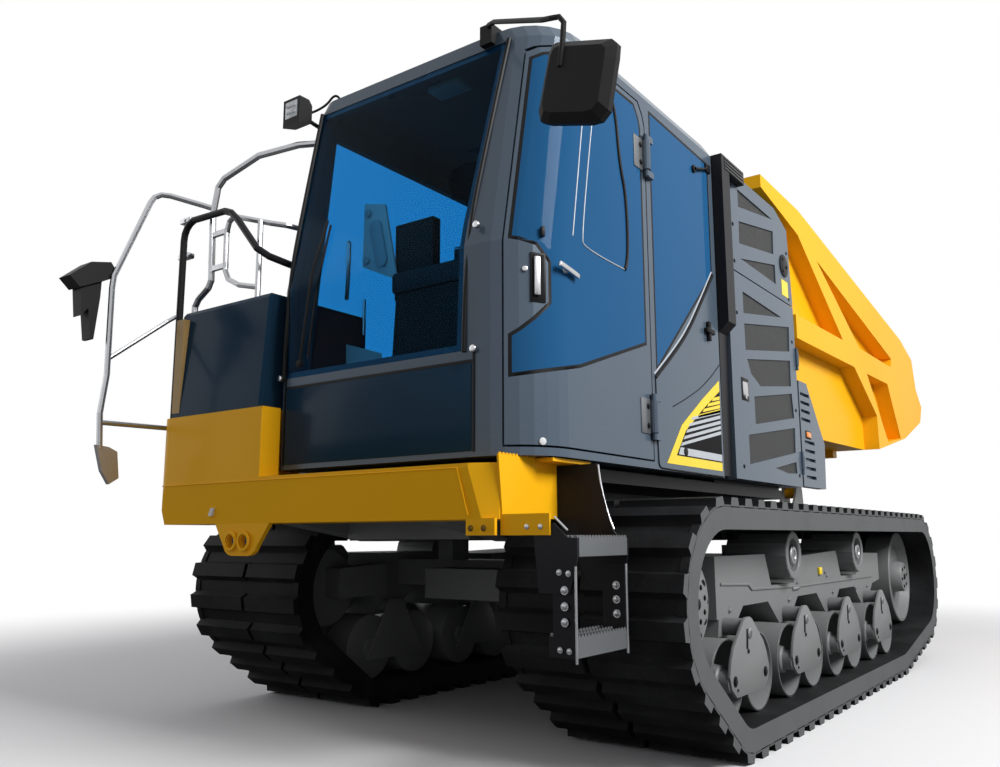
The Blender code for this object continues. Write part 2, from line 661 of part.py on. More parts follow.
def front_beam():
    """The yellow bumper beam with its raised box, tow plate and step bracket."""
    back = NOSE_Y + NOSE_DEPTH
    corner = [(NOSE_RIGHT_X, back)]
    corner += arc((NOSE_RIGHT_X + NOSE_CORNER, NOSE_Y + NOSE_CORNER), NOSE_CORNER, 180, 270, 5)
    plan = [(APRON_X - GAP, back), *corner, (NOSE_LEFT_X, NOSE_Y), (APRON_X - GAP, NOSE_Y + 0.05)]
    beam = prism(plan, "Z", NOSE_LOW_Z, NOSE_TOP_Z)
    beside_cab = CAB_RIGHT_X - RUNNING_GAP
    raised = [(beside_cab, back), *corner, (NOSE_BOX_LEFT_X, NOSE_Y),
              (NOSE_BOX_LEFT_X, CAB_LEVELS[0][1] - RUNNING_GAP),
              (beside_cab, CAB_LEVELS[0][1] - RUNNING_GAP)]
    upper = prism(raised, "Z", NOSE_TOP_Z - 0.05, NOSE_BOX_TOP_Z)
    beam = joined(beam, upper)
    lean = NOSE_LEAN / (NOSE_CREASE_Z - NOSE_LOW_Z)
    below = NOSE_LOW_Z - 0.02
    sunk = NOSE_LEAN + 0.02 * lean
    under_face = [(NOSE_Y, NOSE_CREASE_Z), (NOSE_Y - 0.02, NOSE_CREASE_Z), (NOSE_Y - 0.02, below),
                  (NOSE_Y + sunk, below)]
    under_end = [(NOSE_RIGHT_X, NOSE_CREASE_Z), (NOSE_RIGHT_X - 0.02, NOSE_CREASE_Z),
                 (NOSE_RIGHT_X - 0.02, below), (NOSE_RIGHT_X + 2 * sunk, below)]
    beam = cut(beam, prism(under_face, "X", NOSE_RIGHT_X - 0.1, APRON_X + 0.1),
               prism(under_end, "Y", NOSE_Y - 0.1, back + 0.1))
    low = NOSE_LOW_Z + BITE
    face = (NOSE_Y + NOSE_LEAN, NOSE_Y + NOSE_LEAN + 0.022)
    right, left = TOW_EYES_X
    tow = [(right - 0.125, low)] + arc((right, TOW_EYE_Z), 0.062, 200, 270, 3)
    tow += arc((left + 0.02, TOW_EYE_Z), 0.062, 270, 340, 3) + [(left + 0.157, low)]
    hanger = prism(tow, "Y", *face)
    eyes = [disc((face[0] - 0.01, face[1] + 0.01), (x, 0, TOW_EYE_Z), 0.03, "Y", 12) for x in TOW_EYES_X]
    hanger = cut(hanger, *eyes)
    bracket = box((NOSE_LEFT_X - 0.025, APRON_X - GAP), (face[0], face[0] + 0.014), (0.865, low))
    return joined(beam, hanger, bracket)


def step_apron():
    """The yellow plate at the left end of the front beam, with a tread on top and a step bracket."""
    front = LADDER_Y[0] - GAP
    view = [(-2.34, 1.143), (APRON_REAR_Y, 1.143), (-1.96, APRON_LOW_Z), (-2.18, APRON_LOW_Z),
            (-2.20, 0.865), (front - PLATE, 0.865), (front - PLATE, APRON_LOW_Z + 0.02)]
    plate = prism(view, "X", APRON_X, APRON_X + PLATE)
    tread = box((APRON_X, CAB_LEFT_X - 0.02), (-2.11, APRON_REAR_Y), (1.13, 1.143))
    bracket = box((APRON_X, TREADS[0][0] + 0.02), (front - PLATE, front), (0.865, APRON_LOW_Z + 0.012))
    return joined(plate, tread, bracket)


def ladder():
    """Two treads between drop bars, carried by two plates that reach out from the apron."""
    inner, outer, top, depth = TREADS[0]
    low = top - 0.18
    arm = [(inner - 0.03, low), (outer - 0.03, low), (outer, top - depth), (outer, top), (outer - 0.035, top)]
    front = arm + [(inner + 0.03, APRON_LOW_Z - 0.02), (APRON_X + 0.05, APRON_LOW_Z - 0.02),
                   (APRON_X + 0.05, 0.87), (inner - 0.05, 0.87)]
    rear = arm + [(outer - 0.06, top + 0.03), (outer - 0.11, 1.07), (outer - 0.12, 1.125),
                  (APRON_X + PLATE + GAP, 1.125), (APRON_X + PLATE + GAP, APRON_LOW_Z)]
    pieces = []
    for y, view in zip((LADDER_Y[0], LADDER_Y[1] - PLATE), (front, rear)):
        pieces.append(prism(view, "Y", y, y + PLATE))
    inner, outer, foot, depth = TREADS[1]
    for y in (LADDER_Y[0] + PLATE - 0.001, LADDER_Y[1] - 2 * PLATE + 0.001):
        pieces.append(box((inner + 0.015, outer), (y, y + PLATE), (foot - depth, top - 0.09)))
    for near, far, z, depth in TREADS:
        pieces.append(box((near, far), (LADDER_Y[0] + BITE, LADDER_Y[1] - BITE), (z - depth, z)))
    return joined(pieces[0], *pieces[1:])


def side_tank():
    """The tank under the right-hand walkway, behind the front locker."""
    x = (DECK_RIGHT_X, CAB_RIGHT_X - 0.05)
    return box(x, (LOCKER_REAR_Y + GAP, DECK_REAR_Y), (DECK_TOP_Z + GAP, 1.62))


def front_locker():
    """The dark box that stands on the raised part of the front beam."""
    low = NOSE_BOX_TOP_Z + GAP
    view = [(-2.36, low), (-2.355, 1.50), (-2.325, LOCKER_TOP_Z - 0.02), (-2.31, LOCKER_TOP_Z),
            (LOCKER_REAR_Y, LOCKER_TOP_Z), (LOCKER_REAR_Y, low)]
    return prism(view, "X", LOCKER_RIGHT_X, CAB_RIGHT_X - RUNNING_GAP)


def guard_rail():
    """The black hoop over the front locker."""
    beside_cab = CAB_RIGHT_X - GAP - HOOP_RADIUS
    route = [(HOOP_X, HOOP_Y, NOSE_BOX_TOP_Z + GAP), (HOOP_X, HOOP_Y, 2.28)]
    route += [(x, HOOP_Y, z) for x, z in arc((HOOP_X + 0.09, 2.315), 0.09, 180, 100, 4)]
    route += [(-0.71, HOOP_Y, 2.395), (-0.66, HOOP_Y, 2.375), (-0.61, HOOP_Y, 2.33), (-0.46, HOOP_Y, 2.16),
              (-0.41, -2.30, 2.12), (beside_cab, -2.23, 2.10), (beside_cab, -2.15, 2.095)]
    return tube(route, HOOP_RADIUS)


def outer_rail(radius):
    """The longer grab rail, from the locker's corner over to the cab's right front pillar."""
    y = RAILS_Y
    beside_cab = CAB_RIGHT_X - GAP - RAIL_RADIUS * BAR_FLAT
    return tube([(-0.975, y, LOCKER_TOP_Z + GAP), (-0.975, y, 1.975), (-0.95, y, 2.01), (-0.875, y, 2.055),
                 (-0.855, y, 2.09), (-0.868, y, 2.43), (-0.838, y, 2.56), (-0.80, y + 0.005, 2.598),
                 (-0.60, y + 0.05, 2.68), (-0.44, y + 0.155, 2.73), (beside_cab, y + 0.22, 2.745),
                 (beside_cab, y + 0.27, 2.745)], radius)


def hand_rails():
    """The grey grab rails beside the cab: two bent bars clamped side by side, and an upright."""
    y = RAILS_Y
    foot = LOCKER_TOP_Z + GAP
    beside_cab = CAB_RIGHT_X - GAP - SECOND_RAIL_RADIUS * BAR_FLAT
    outer = outer_rail(RAIL_RADIUS)
    inner = tube([(-0.50, y, 1.995), (-0.64, y, 2.03), (-0.72, y, 2.07), (-0.748, y, 2.12), (-0.752, y, 2.31),
                  (-0.735, y, 2.36), (-0.70, y, 2.38), (-0.675, y, 2.372), (-0.45, y + 0.02, 2.297),
                  (-0.39, y + 0.06, 2.285), (beside_cab, y + 0.11, 2.283),
                  (beside_cab, y + 0.14, 2.283)], SECOND_RAIL_RADIUS)
    upright = tube([(-0.50, y, foot), (-0.50, y, 2.314)], SECOND_RAIL_RADIUS)
    clamps = [box((-0.872, -0.738), (y - 0.009, y + 0.009), (z - 0.012, z + 0.012)) for z in (2.145, 2.318)]
    return joined(outer, inner, upright, *clamps)


def mirror_stay():
    """The bright tube frame that carries the right mirrors ahead of the right front corner."""
    x = STAY_X
    main = tube([(-0.862, RAILS_Y, 2.455), (-0.91, RAILS_Y - 0.02, 2.475), (-1.06, -2.40, 2.532),
                 (-1.09, -2.43, 2.535), (x, -2.46, 2.515), (x, -2.48, 2.48), (x, -2.64, 2.07),
                 (x, -2.645, 2.01), (x, -2.64, 1.60), (x, -2.66, 1.42), (x, -2.65, 1.26)],
                STAY_RADIUS)
    main = cut(main, outer_rail(RAIL_RADIUS + GAP))
    hoop_side = HOOP_X - HOOP_RADIUS - GAP
    brace = tube([(x, -2.641, 1.673), (hoop_side - 0.03, -2.36, 1.905), (hoop_side - 0.012, HOOP_Y, 1.93),
                  (hoop_side, HOOP_Y, 1.93)], 0.010)
    low = tube([(x, -2.66, 1.378), (x, -2.27, 1.385), (x + 0.015, -2.25, 1.385),
                (NOSE_RIGHT_X - GAP, -2.25, 1.385)], 0.012)
    pad = prism([(-2.672, 1.275), (-2.61, 1.268), (-2.57, 1.25), (-2.555, 1.13), (-2.60, 1.10),
                 (-2.64, 1.16)], "X", x - 0.012, x + 0.012)
    return joined(main, brace, low, pad)


def mirror_right():
    """The right mirrors' two housings on the stay, seen nearly edge on from ahead."""
    upper = prism([(FRONT_END_Y, 2.03), (-2.745, 2.115), (-2.65, 2.137), (-2.632, 2.115), (-2.64, 2.06),
                   (-2.70, 2.03), (-2.79, 1.985)], "X", -1.21, STAY_X - STAY_RADIUS * BAR_FLAT - GAP)
    lower = prism([(-2.78, 2.0), (-2.68, 2.04), (-2.682, 1.96), (-2.70, 1.76), (-2.716, 1.76),
                   (-2.735, 1.90), (-2.765, 1.86)], "X", -1.20, -1.13)
    return joined(upper, lower)


def mirror_left():
    """The left mirror on its cranked arm from the roof's front corner."""
    arm = tube([(0.69, -2.10, 2.925), (0.71, -2.13, 2.935), (0.76, -2.16, 2.915), (1.17, -2.43, 2.632),
                (1.215, -2.448, 2.612), (1.25, -2.452, 2.602), (1.268, -2.452, 2.575),
                (1.262, -2.452, 2.50), (1.25, -2.452, 2.42)], 0.010)
    rim = [(1.225, 2.53), (1.435, 2.468), (1.455, 2.445), (1.450, 2.40), (1.415, 2.225), (1.385, 2.198),
           (1.345, 2.20), (1.185, 2.245), (1.152, 2.262), (1.145, 2.30), (1.19, 2.50), (1.205, 2.528)]
    head = tapered(rim, "Y", (-2.40, -2.425, -2.452), 0.80)
    foot = box((0.66, 0.72), (-2.125, -2.0), (2.86, 2.945))
    foot = cut(foot, cab_form(-GAP))
    return joined(arm, head, foot)


# Cab

def cab_plan(front_y, draw_in, inset):
    """Return the cab's outline in plan, with both front corners as arcs."""
    left = CAB_LEFT_X - draw_in - inset
    right = CAB_RIGHT_X + draw_in + inset
    front = front_y + inset
    rear = CAB_REAR_Y - draw_in - inset
    near = max(CAB_LEFT_RADIUS - inset, 0.02)
    far = max(CAB_RIGHT_RADIUS - inset, 0.02)
    plan = [(left, rear), (right, rear)]
    plan += arc((right + far, front + far), far, 180, 270, 4)
    plan += arc((left - near, front + near), near, 270, 360, 7)
    return plan


def cab_form(inset, low=0.0, high=0.0):
    """Loft the cab's outlines into one solid, drawn in by a wall and shortened below and above."""
    bm = bmesh.new()
    rings = []
    for i, (z, front_y, draw_in) in enumerate(CAB_LEVELS):
        z += low if i == 0 else 0.0
        z -= high if i == len(CAB_LEVELS) - 1 else 0.0
        z -= min(high, 0.02) if i == len(CAB_LEVELS) - 2 else 0.0
        row = [bm.verts.new((x, y, z)) for x, y in cab_plan(front_y, draw_in, inset)]
        rings.append(row)
    for lower, upper in zip(rings, rings[1:]):
        for i in range(len(lower)):
            j = (i + 1) % len(lower)
            bm.faces.new((lower[i], lower[j], upper[j], upper[i]))
    bm.faces.new(rings[0])
    bm.faces.new(rings[-1])
    return solid(bm)


def door_region(margin):
    """The space of the door panel, widened by a margin on every side."""
    rear = DOOR_REAR_Y + margin
    low = DOOR_LOW_Z - margin
    top = DOOR_TOP_Z + margin
    view = [(-2.6, low), (rear, low), (rear, top - 0.10), (rear - 0.02, top - 0.05), (rear - 0.06, top),
            (-1.98, top), (-2.06 - margin, top - 0.015), (-2.11 - margin, top - 0.05),
            (-2.14 - margin, top - 0.11), (-2.6, top - 0.11)]
    return prism(view, "X", DOOR_FRONT_X - margin, FAR_OUT)


def pane_regions(margin):
    """Return each pane's outline, axis and reach, drawn in by a margin on every side."""
    m = margin
    rear, top = DOOR_HINGE[1] - DOOR_KNUCKLE - 0.003 - m, DOOR_TOP_Z - DOOR_RIM - m
    door_view = [(-2.5, 1.43 + m), (-2.24, 1.43 + m), (-1.94, 1.495 + m), (rear, 1.685 + m),
                 (rear, top - 0.10), (rear - 0.02, top - 0.05), (rear - 0.06, top), (-1.98, top),
                 (-2.05 + m, top - 0.015), (-2.10 + m, top - 0.05), (-2.13 + m, top - 0.11), (-2.5, top - 0.11),
                 (-2.5, 1.955 + m), (-2.24, 1.955 + m), (-2.17 + m, 1.93 + m), (-2.125 + m, 1.87),
                 (-2.125 + m, 1.72), (-2.24, 1.59 - m), (-2.5, 1.59 - m)]
    quarter_view = [(-1.285 + m, 1.575 + 2 * m), (-0.60 - m, 2.185 + m), (-0.60 - m, 2.80 - m),
                    (-1.285 + m, 2.82 - m)]
    right_view = [(-2.15 + m, 1.54 + m), (-0.62 - m, 1.54 + m), (-0.62 - m, 2.80 - m), (-2.02 + m, 2.80 - m)]
    front_view = [(-0.315 + m, 1.545 + m), (0.685 - m, 1.545 + m), (0.70 - m, 2.05), (0.775 - m, 2.855 - m),
                  (-0.315 + m, 2.855 - m)]
    rear_view = [(-0.27 + m, 1.78 + m), (0.92 - m, 1.78 + m), (0.92 - m, 2.79 - m), (-0.27 + m, 2.79 - m)]
    return {
        "door_glass": (door_view, "X", DOOR_FRONT_X + 0.013 + m, FAR_OUT),
        "quarter_glass": (quarter_view, "X", 0.70, FAR_OUT),
        "right_glass": (right_view, "X", -FAR_OUT, -0.20),
        "windshield": (front_view, "Y", -2.6, -1.90),
        "rear_glass": (rear_view, "Y", -0.75, 0.0),
    }


def cab_walls():
    """The hollow cab before the door and the windows are cut."""
    return cut(cab_form(0.0), cab_form(CAB_WALL, 0.05, 0.04))


def with_window(panel, name):
    """Cut a window through a panel, with a shallow seat round it that the bonded pane lies in."""
    seat_depth = cut(cab_form(-0.01), cab_form(PANE + GAP))
    rebate = overlap(seat_depth, prism(*pane_regions(0.0)[name]))
    return cut(panel, rebate, prism(*pane_regions(PANE_LAP)[name]))


def cab_hinge_leaves():
    """The fixed halves of the door's hinges, above and below each moving knuckle."""
    x, y = DOOR_HINGE
    leaves = []
    for z in DOOR_HINGES_Z:
        for low in (z - DOOR_KNUCKLE_HALF - GAP - 0.03, z + DOOR_KNUCKLE_HALF + GAP):
            span = (low, low + 0.03)
            leaves.append(disc(span, (x, y, 0), 0.0125, "Z", 10))
            leaves.append(box((x - 0.0075, x + 0.0075), (y, y + 0.058), span))
            leaves.append(box((CAB_LEFT_X - 0.002, x), (y + 0.028, y + 0.058), span))
    return leaves


def cab_shell():
    """Floor, walls, pillars and roof, with the doorway and the windows open."""
    shell = cut(cab_walls(), door_region(RUNNING_GAP))
    for name in pane_regions(0.0):
        if name != "door_glass":
            shell = with_window(shell, name)
    return joined(shell, *cab_hinge_leaves())


def cab_door():
    """The door panel, which wraps round the left front corner, with its window open."""
    door = with_window(overlap(cab_walls(), door_region(0.0)), "door_glass")
    hinges = [disc((z - DOOR_KNUCKLE_HALF, z + DOOR_KNUCKLE_HALF), (*DOOR_HINGE, 0), DOOR_KNUCKLE, "Z", 12)
              for z in DOOR_HINGES_Z]
    return joined(door, *hinges)


def pane(name):
    """One sheet of glass that follows the cab's skin, flush with the panel round it."""
    sheet = cut(cab_form(0.0), cab_form(PANE, 0.04, 0.03))
    return overlap(sheet, prism(*pane_regions(GAP)[name]))


def seat():
    """Base, cushion, back and armrests of the driver's seat."""
    x, y = 0.33, -1.22
    floor = CAB_LOW_Z + 0.05 + GAP
    base = box((x - 0.17, x + 0.17), (y - 0.20, y + 0.18), (floor, floor + 0.30))
    cushion = box((x - 0.25, x + 0.25), (y - 0.28, y + 0.20), (floor + 0.29, floor + 0.42))
    back = prism([(y + 0.12, floor + 0.40), (y + 0.26, floor + 0.40), (y + 0.36, floor + 1.08),
                  (y + 0.26, floor + 1.10)], "X", x - 0.23, x + 0.23)
    return joined(base, cushion, back)


def console():
    """The lever console and the instrument stand at the front of the cab."""
    floor = CAB_LOW_Z + 0.05 + GAP
    stand = box((-0.14, 0.02), (-1.75, -1.00), (floor, floor + 0.55))
    post = prism([(-2.05, floor), (-1.90, floor), (-1.93, floor + 0.75), (-2.0, floor + 0.75)], "X",
                 0.10, 0.56)
    screen = box((0.08, 0.30), (-1.99, -1.94), (floor + 0.70, floor + 1.05))
    shelf = box((-0.12, 0.12), (-1.99, -1.70), (floor + 0.20, floor + 0.30))
    return joined(post, shelf, stand, screen)


def work_lamp():
    """The square lamp on a short arm at the cab's right front pillar."""
    body = prism([(-2.175, 2.815), (-2.175, 2.955), (-2.115, 2.955), (-2.095, 2.93), (-2.095, 2.84)], "X",
                 -0.505, -0.39)
    radius = 0.010
    x = CAB_RIGHT_X - GAP - radius * BAR_FLAT
    arm = tube([(-0.42, -2.11, 2.87), (-0.385, -2.09, 2.84), (x, -2.02, 2.82), (x, -1.88, 2.80)], radius)
    return joined(body, arm)


# Engine cover

def cover_view(inset):
    """Return the engine cover's outline seen from the side, drawn in by a wall."""
    shoulder_y, shoulder_z = COVER_SHOULDER
    return [(COVER_FRONT_Y + inset, COVER_LOW_Z + inset), (COVER_REAR_Y - inset, COVER_LOW_Z + inset),
            (COVER_REAR_Y - inset, COVER_SPLIT_Z), (shoulder_y - inset, shoulder_z - inset),
            (COVER_BEND_Y - inset, COVER_TOP_Z - inset), (COVER_FRONT_Y + inset, COVER_TOP_Z - inset)]


def engine_housing():
    """The fixed walls of the engine room, open on the left where its doors hang."""
    wall = 0.03
    outer = COVER_X - COVER_DOOR - GAP
    body = prism(cover_view(0.0), "X", COVER_RIGHT_X, outer)
    body = cut(body, prism(cover_view(wall), "X", COVER_RIGHT_X + wall, outer + 0.1))
    recess = box((outer - 0.005, outer + 0.1), (COVER_FRONT_Y - 0.1, COVER_REAR_Y + 0.1),
                 (COVER_LOW_Z - 0.1, COVER_SPLIT_Z))
    body = cut(body, recess)
    x, y = COVER_HINGE
    leaves = []
    for z in COVER_HINGES_Z:
        for low in (z - COVER_KNUCKLE - GAP - 0.03, z + COVER_KNUCKLE + GAP):
            span = (low, low + 0.03)
            leaves.append(disc(span, (x, y, 0), 0.008, "Z", 10))
            leaves.append(box((outer - 0.03, x), (COVER_REAR_Y + 0.001, COVER_REAR_Y + 0.009), span))
            leaves.append(box((outer - 0.03, outer - 0.008), (COVER_REAR_Y - 0.001, COVER_REAR_Y + 0.009),
                              span))
    return joined(body, *leaves)


def engine_door(low, high, windows):
    """One side cover, with a shallow pocket for each sheet of mesh."""
    panel = prism(cover_view(0.0), "X", COVER_X - COVER_DOOR, COVER_X)
    band = box((COVER_X - 0.2, COVER_X + 0.2), (COVER_FRONT_Y + 0.004, COVER_REAR_Y - 0.002), (low, high))
    panel = overlap(panel, band)
    knuckles = [disc((z - COVER_KNUCKLE, z + COVER_KNUCKLE), (*COVER_HINGE, 0), 0.012, "Z", 10)
                for z in COVER_HINGES_Z if low < z < high]
    panel = joined(panel, *knuckles)
    pockets = [prism([(y, low + z) for y, z in view], "X", COVER_X - MESH_DEPTH, COVER_X + 0.05)
               for view in windows]
    return cut(panel, *pockets)


def engine():
    """The engine and its pump as one plain block."""
    return box((0.0, 0.62), (-0.28, 0.50), (COVER_LOW_Z + 0.03 + GAP, 2.10))


def louvre_cover():
    """The slatted cover behind the engine room, with a sloping top."""
    front = LOUVRE_FRONT_Y
    back = COVER_X - LOUVRE_DEPTH
    view = [(front, 1.16), (1.136, 1.16), (1.165, 1.455), (0.838, 1.82), (front, 1.82)]
    cover = prism(view, "X", back, COVER_X)
    slots = []
    for first, last, count, near, far in SLOT_BANKS:
        for i in range(count):
            z = first + (last - first) * i / (count - 1)
            slots.append(box((COVER_X - 0.02, COVER_X + 0.02), (near, far), (z, z + SLOT_HEIGHT)))
    bracket = box((0.88, back + BITE), (COVER_REAR_Y + GAP, front + 0.03), (1.45, 1.70))
    return joined(cut(cover, *slots), bracket)


def air_duct():
    """The black intake box between the cab and the engine cover, with a cap that laps over it."""
    inner, outer = DUCT_X
    near, far = CAB_REAR_Y + RUNNING_GAP, COVER_FRONT_Y - RUNNING_GAP
    low = prism([(inner, DUCT_LOW_Z), (1.0, DUCT_LOW_Z), (1.005, 1.90), (outer, 1.95),
                 (outer, DUCT_TOP_Z - 0.05), (inner, DUCT_TOP_Z - 0.05)], "Y", near, far)
    beside = COVER_X + GAP
    cap = prism([(inner, near), (outer, near), (outer, -0.22), (beside, -0.22), (beside, far),
                 (inner, far)], "Z", DUCT_TOP_Z - 0.075, DUCT_TOP_Z)
    return joined(low, cap)


def exhaust():
    """The exhaust tail on top of the engine cover."""
    x, y = 0.10, 0.05
    foot = COVER_TOP_Z + GAP
    return turned([(foot, 0), (foot, 0.08), (foot + 0.03, 0.08), (foot + 0.03, 0.045), (foot + 0.13, 0.045),
                   (foot + 0.13, 0)], (x, y, 0), "Z", 14)


# Bed and its rams

def bed_half(y, inset=0.0):
    """Return the bed's half width at Y, measured to the side ribs' outer faces less an inset."""
    return BED_FRONT_X + BED_TAPER * (y - BED_LIP_Y) - inset


def bed_plan(inset_out, inset_in=None):
    """A tall block that keeps what lies between the bed's tapering sides."""
    first, last = BED_LIP_Y - 1.0, 4.5
    if inset_in is None:
        plan = [(-bed_half(first, inset_out), first), (bed_half(first, inset_out), first),
                (bed_half(last, inset_out), last), (-bed_half(last, inset_out), last)]
    else:
        plan = [(bed_half(first, inset_in), first), (bed_half(first, inset_out), first),
                (bed_half(last, inset_out), last), (bed_half(last, inset_in), last)]
    return plan


TUB_VIEW = [(BED_FRONT_Y, 1.51), (2.30, 1.51), (3.05, 1.655), (3.575, 1.84), (3.655, 1.98), (3.51, 2.124),
            (3.44, 2.378), (3.12, 2.505), (0.85, 2.985), (BED_LIP_Y, 3.035), (BED_LIP_Y, 2.953),
            (BED_FRONT_Y, 2.80)]
LOAD_VIEW = [(0.742, 1.522), (2.296, 1.522), (3.046, 1.667), (3.75, 1.916), (3.75, 3.3), (0.247, 3.3),
             (0.247, 2.966), (0.742, 2.813)]
RIB_VIEW = [(BED_LIP_Y, 2.953), (BED_LIP_Y, 3.035), (0.85, 2.985), (3.12, 2.505), (3.44, 2.378),
            (3.51, 2.124), (3.655, 1.98), (3.575, 1.84), (3.05, 1.655), (2.30, 1.51), (2.295, 1.765),
            (1.82, 2.075), (0.70, 2.095), (0.70, 2.25), (1.603, 2.237), (0.818, 2.808)]
RIB_HOLES = [
    [(1.146, 2.717), (2.806, 2.289), (2.77, 2.215), (1.977, 2.24)],
    [(2.112, 2.067), (2.638, 2.059), (2.913, 1.643), (2.547, 1.585)],
]


def bed():
    """The tipping body: a tapering tub with box ribs along its sides and a scow tail."""
    tub = overlap(prism(TUB_VIEW, "X", *WHOLE_WIDTH), prism(bed_plan(BED_RIB), "Z", *WHOLE_HEIGHT))
    load = overlap(prism(LOAD_VIEW, "X", *WHOLE_WIDTH),
                   prism(bed_plan(BED_RIB + BED_WALL), "Z", *WHOLE_HEIGHT))
    tub = cut(tub, load)
    ribs = []
    for side in (1, -1):
        plan = [(side * x, y) for x, y in bed_plan(0.0, BED_RIB + BITE)]
        slab = overlap(prism(RIB_VIEW, "X", *WHOLE_WIDTH), prism(plan, "Z", *WHOLE_HEIGHT))
        ribs.append(cut(slab, *[prism(view, "X", *WHOLE_WIDTH) for view in RIB_HOLES]))
    under = BED_FLOOR_Z + BITE
    pieces = []
    for side in (1, -1):
        sill = mirrored((BEAM_X - 0.04, BEAM_X + 0.04), side)
        pieces.append(prism([(0.80, 1.43), (2.30, 1.43), (2.42, 1.46), (2.42, 1.545), (2.30, under),
                             (0.80, under)], "X", *sill))
        boss = mirrored((BEAM_X - BEAM_WIDTH / 2 + EAR + 0.0005, BEAM_X + BEAM_WIDTH / 2 - EAR - 0.0005),
                        side)
        pieces.append(disc(boss, (0, HINGE_Y, HINGE_Z), BOSS_RADIUS, "X", 16))
        pieces.append(prism([(HINGE_Y - 0.035, HINGE_Z), (HINGE_Y + 0.035, HINGE_Z),
                             (HINGE_Y + 0.05, 1.44), (HINGE_Y - 0.12, 1.44)], "X",
                            *[x + d for x, d in zip(boss, (0.004, -0.004))]))
        for edge in (-1, 1):
            near = side * RAM_X + edge * (RAM_BOSS_WIDTH / 2 + 0.0005)
            far = near + edge * EAR
            eye_y, eye_z = RAM_EYE
            view = [(eye_y - 0.09, under), *arc(RAM_EYE, RAM_BOSS_RADIUS, 180, 360, 6), (eye_y + 0.09, under)]
            pieces.append(prism(view, "X", *sorted((near, far))))
    for y in (0.95, 1.85, 2.2):
        pieces.append(box((-0.80, 0.80), (y - 0.05, y + 0.05), (1.455, under)))
    return joined(tub, *ribs, *pieces)


def ram_direction():
    way = Vector((0.0, RAM_EYE[0] - RAM_FOOT[0], RAM_EYE[1] - RAM_FOOT[1]))
    return way.length, math.atan2(way.z, way.y)


def ram_piece(profile, x, sides=16):
    """Turn a profile along the line from the barrel's foot to the rod's eye."""
    length, slope = ram_direction()
    piece = turned(profile, (0, 0, 0), "Y", sides)
    piece.data.transform(Matrix.Translation((x, *RAM_FOOT)) @ Matrix.Rotation(slope, 4, "X"))
    return piece


def ram_barrel(side):
    """The outer tube of a tipping ram, open at its mouth, with its foot's boss."""
    bore = RAM_ROD_RADIUS + RAM_BORE_CLEARANCE
    neck = RAM_BOSS_RADIUS + 0.008
    profile = [(0, 0), (0, RAM_NECK_RADIUS), (neck, RAM_NECK_RADIUS), (neck, RAM_BARREL_RADIUS),
               (RAM_BARREL, RAM_BARREL_RADIUS),
               (RAM_BARREL, bore), (0.06, bore), (0.06, 0)]
    barrel = ram_piece(profile, side * RAM_X)
    half = RAM_BOSS_WIDTH / 2
    boss = disc((side * RAM_X - half, side * RAM_X + half), (0, *RAM_FOOT), RAM_BOSS_RADIUS, "X", 16)
    return joined(barrel, boss)


def ram_rod(side):
    """The rod of a tipping ram with the eye that meets the bed's lugs."""
    length, slope = ram_direction()
    profile = [(0.07, 0), (0.07, RAM_ROD_RADIUS), (length, RAM_ROD_RADIUS), (length, 0)]
    rod = ram_piece(profile, side * RAM_X)
    half = RAM_BOSS_WIDTH / 2
    eye = disc((side * RAM_X - half, side * RAM_X + half), (0, *RAM_EYE), RAM_BOSS_RADIUS, "X", 16)
    return joined(rod, eye)


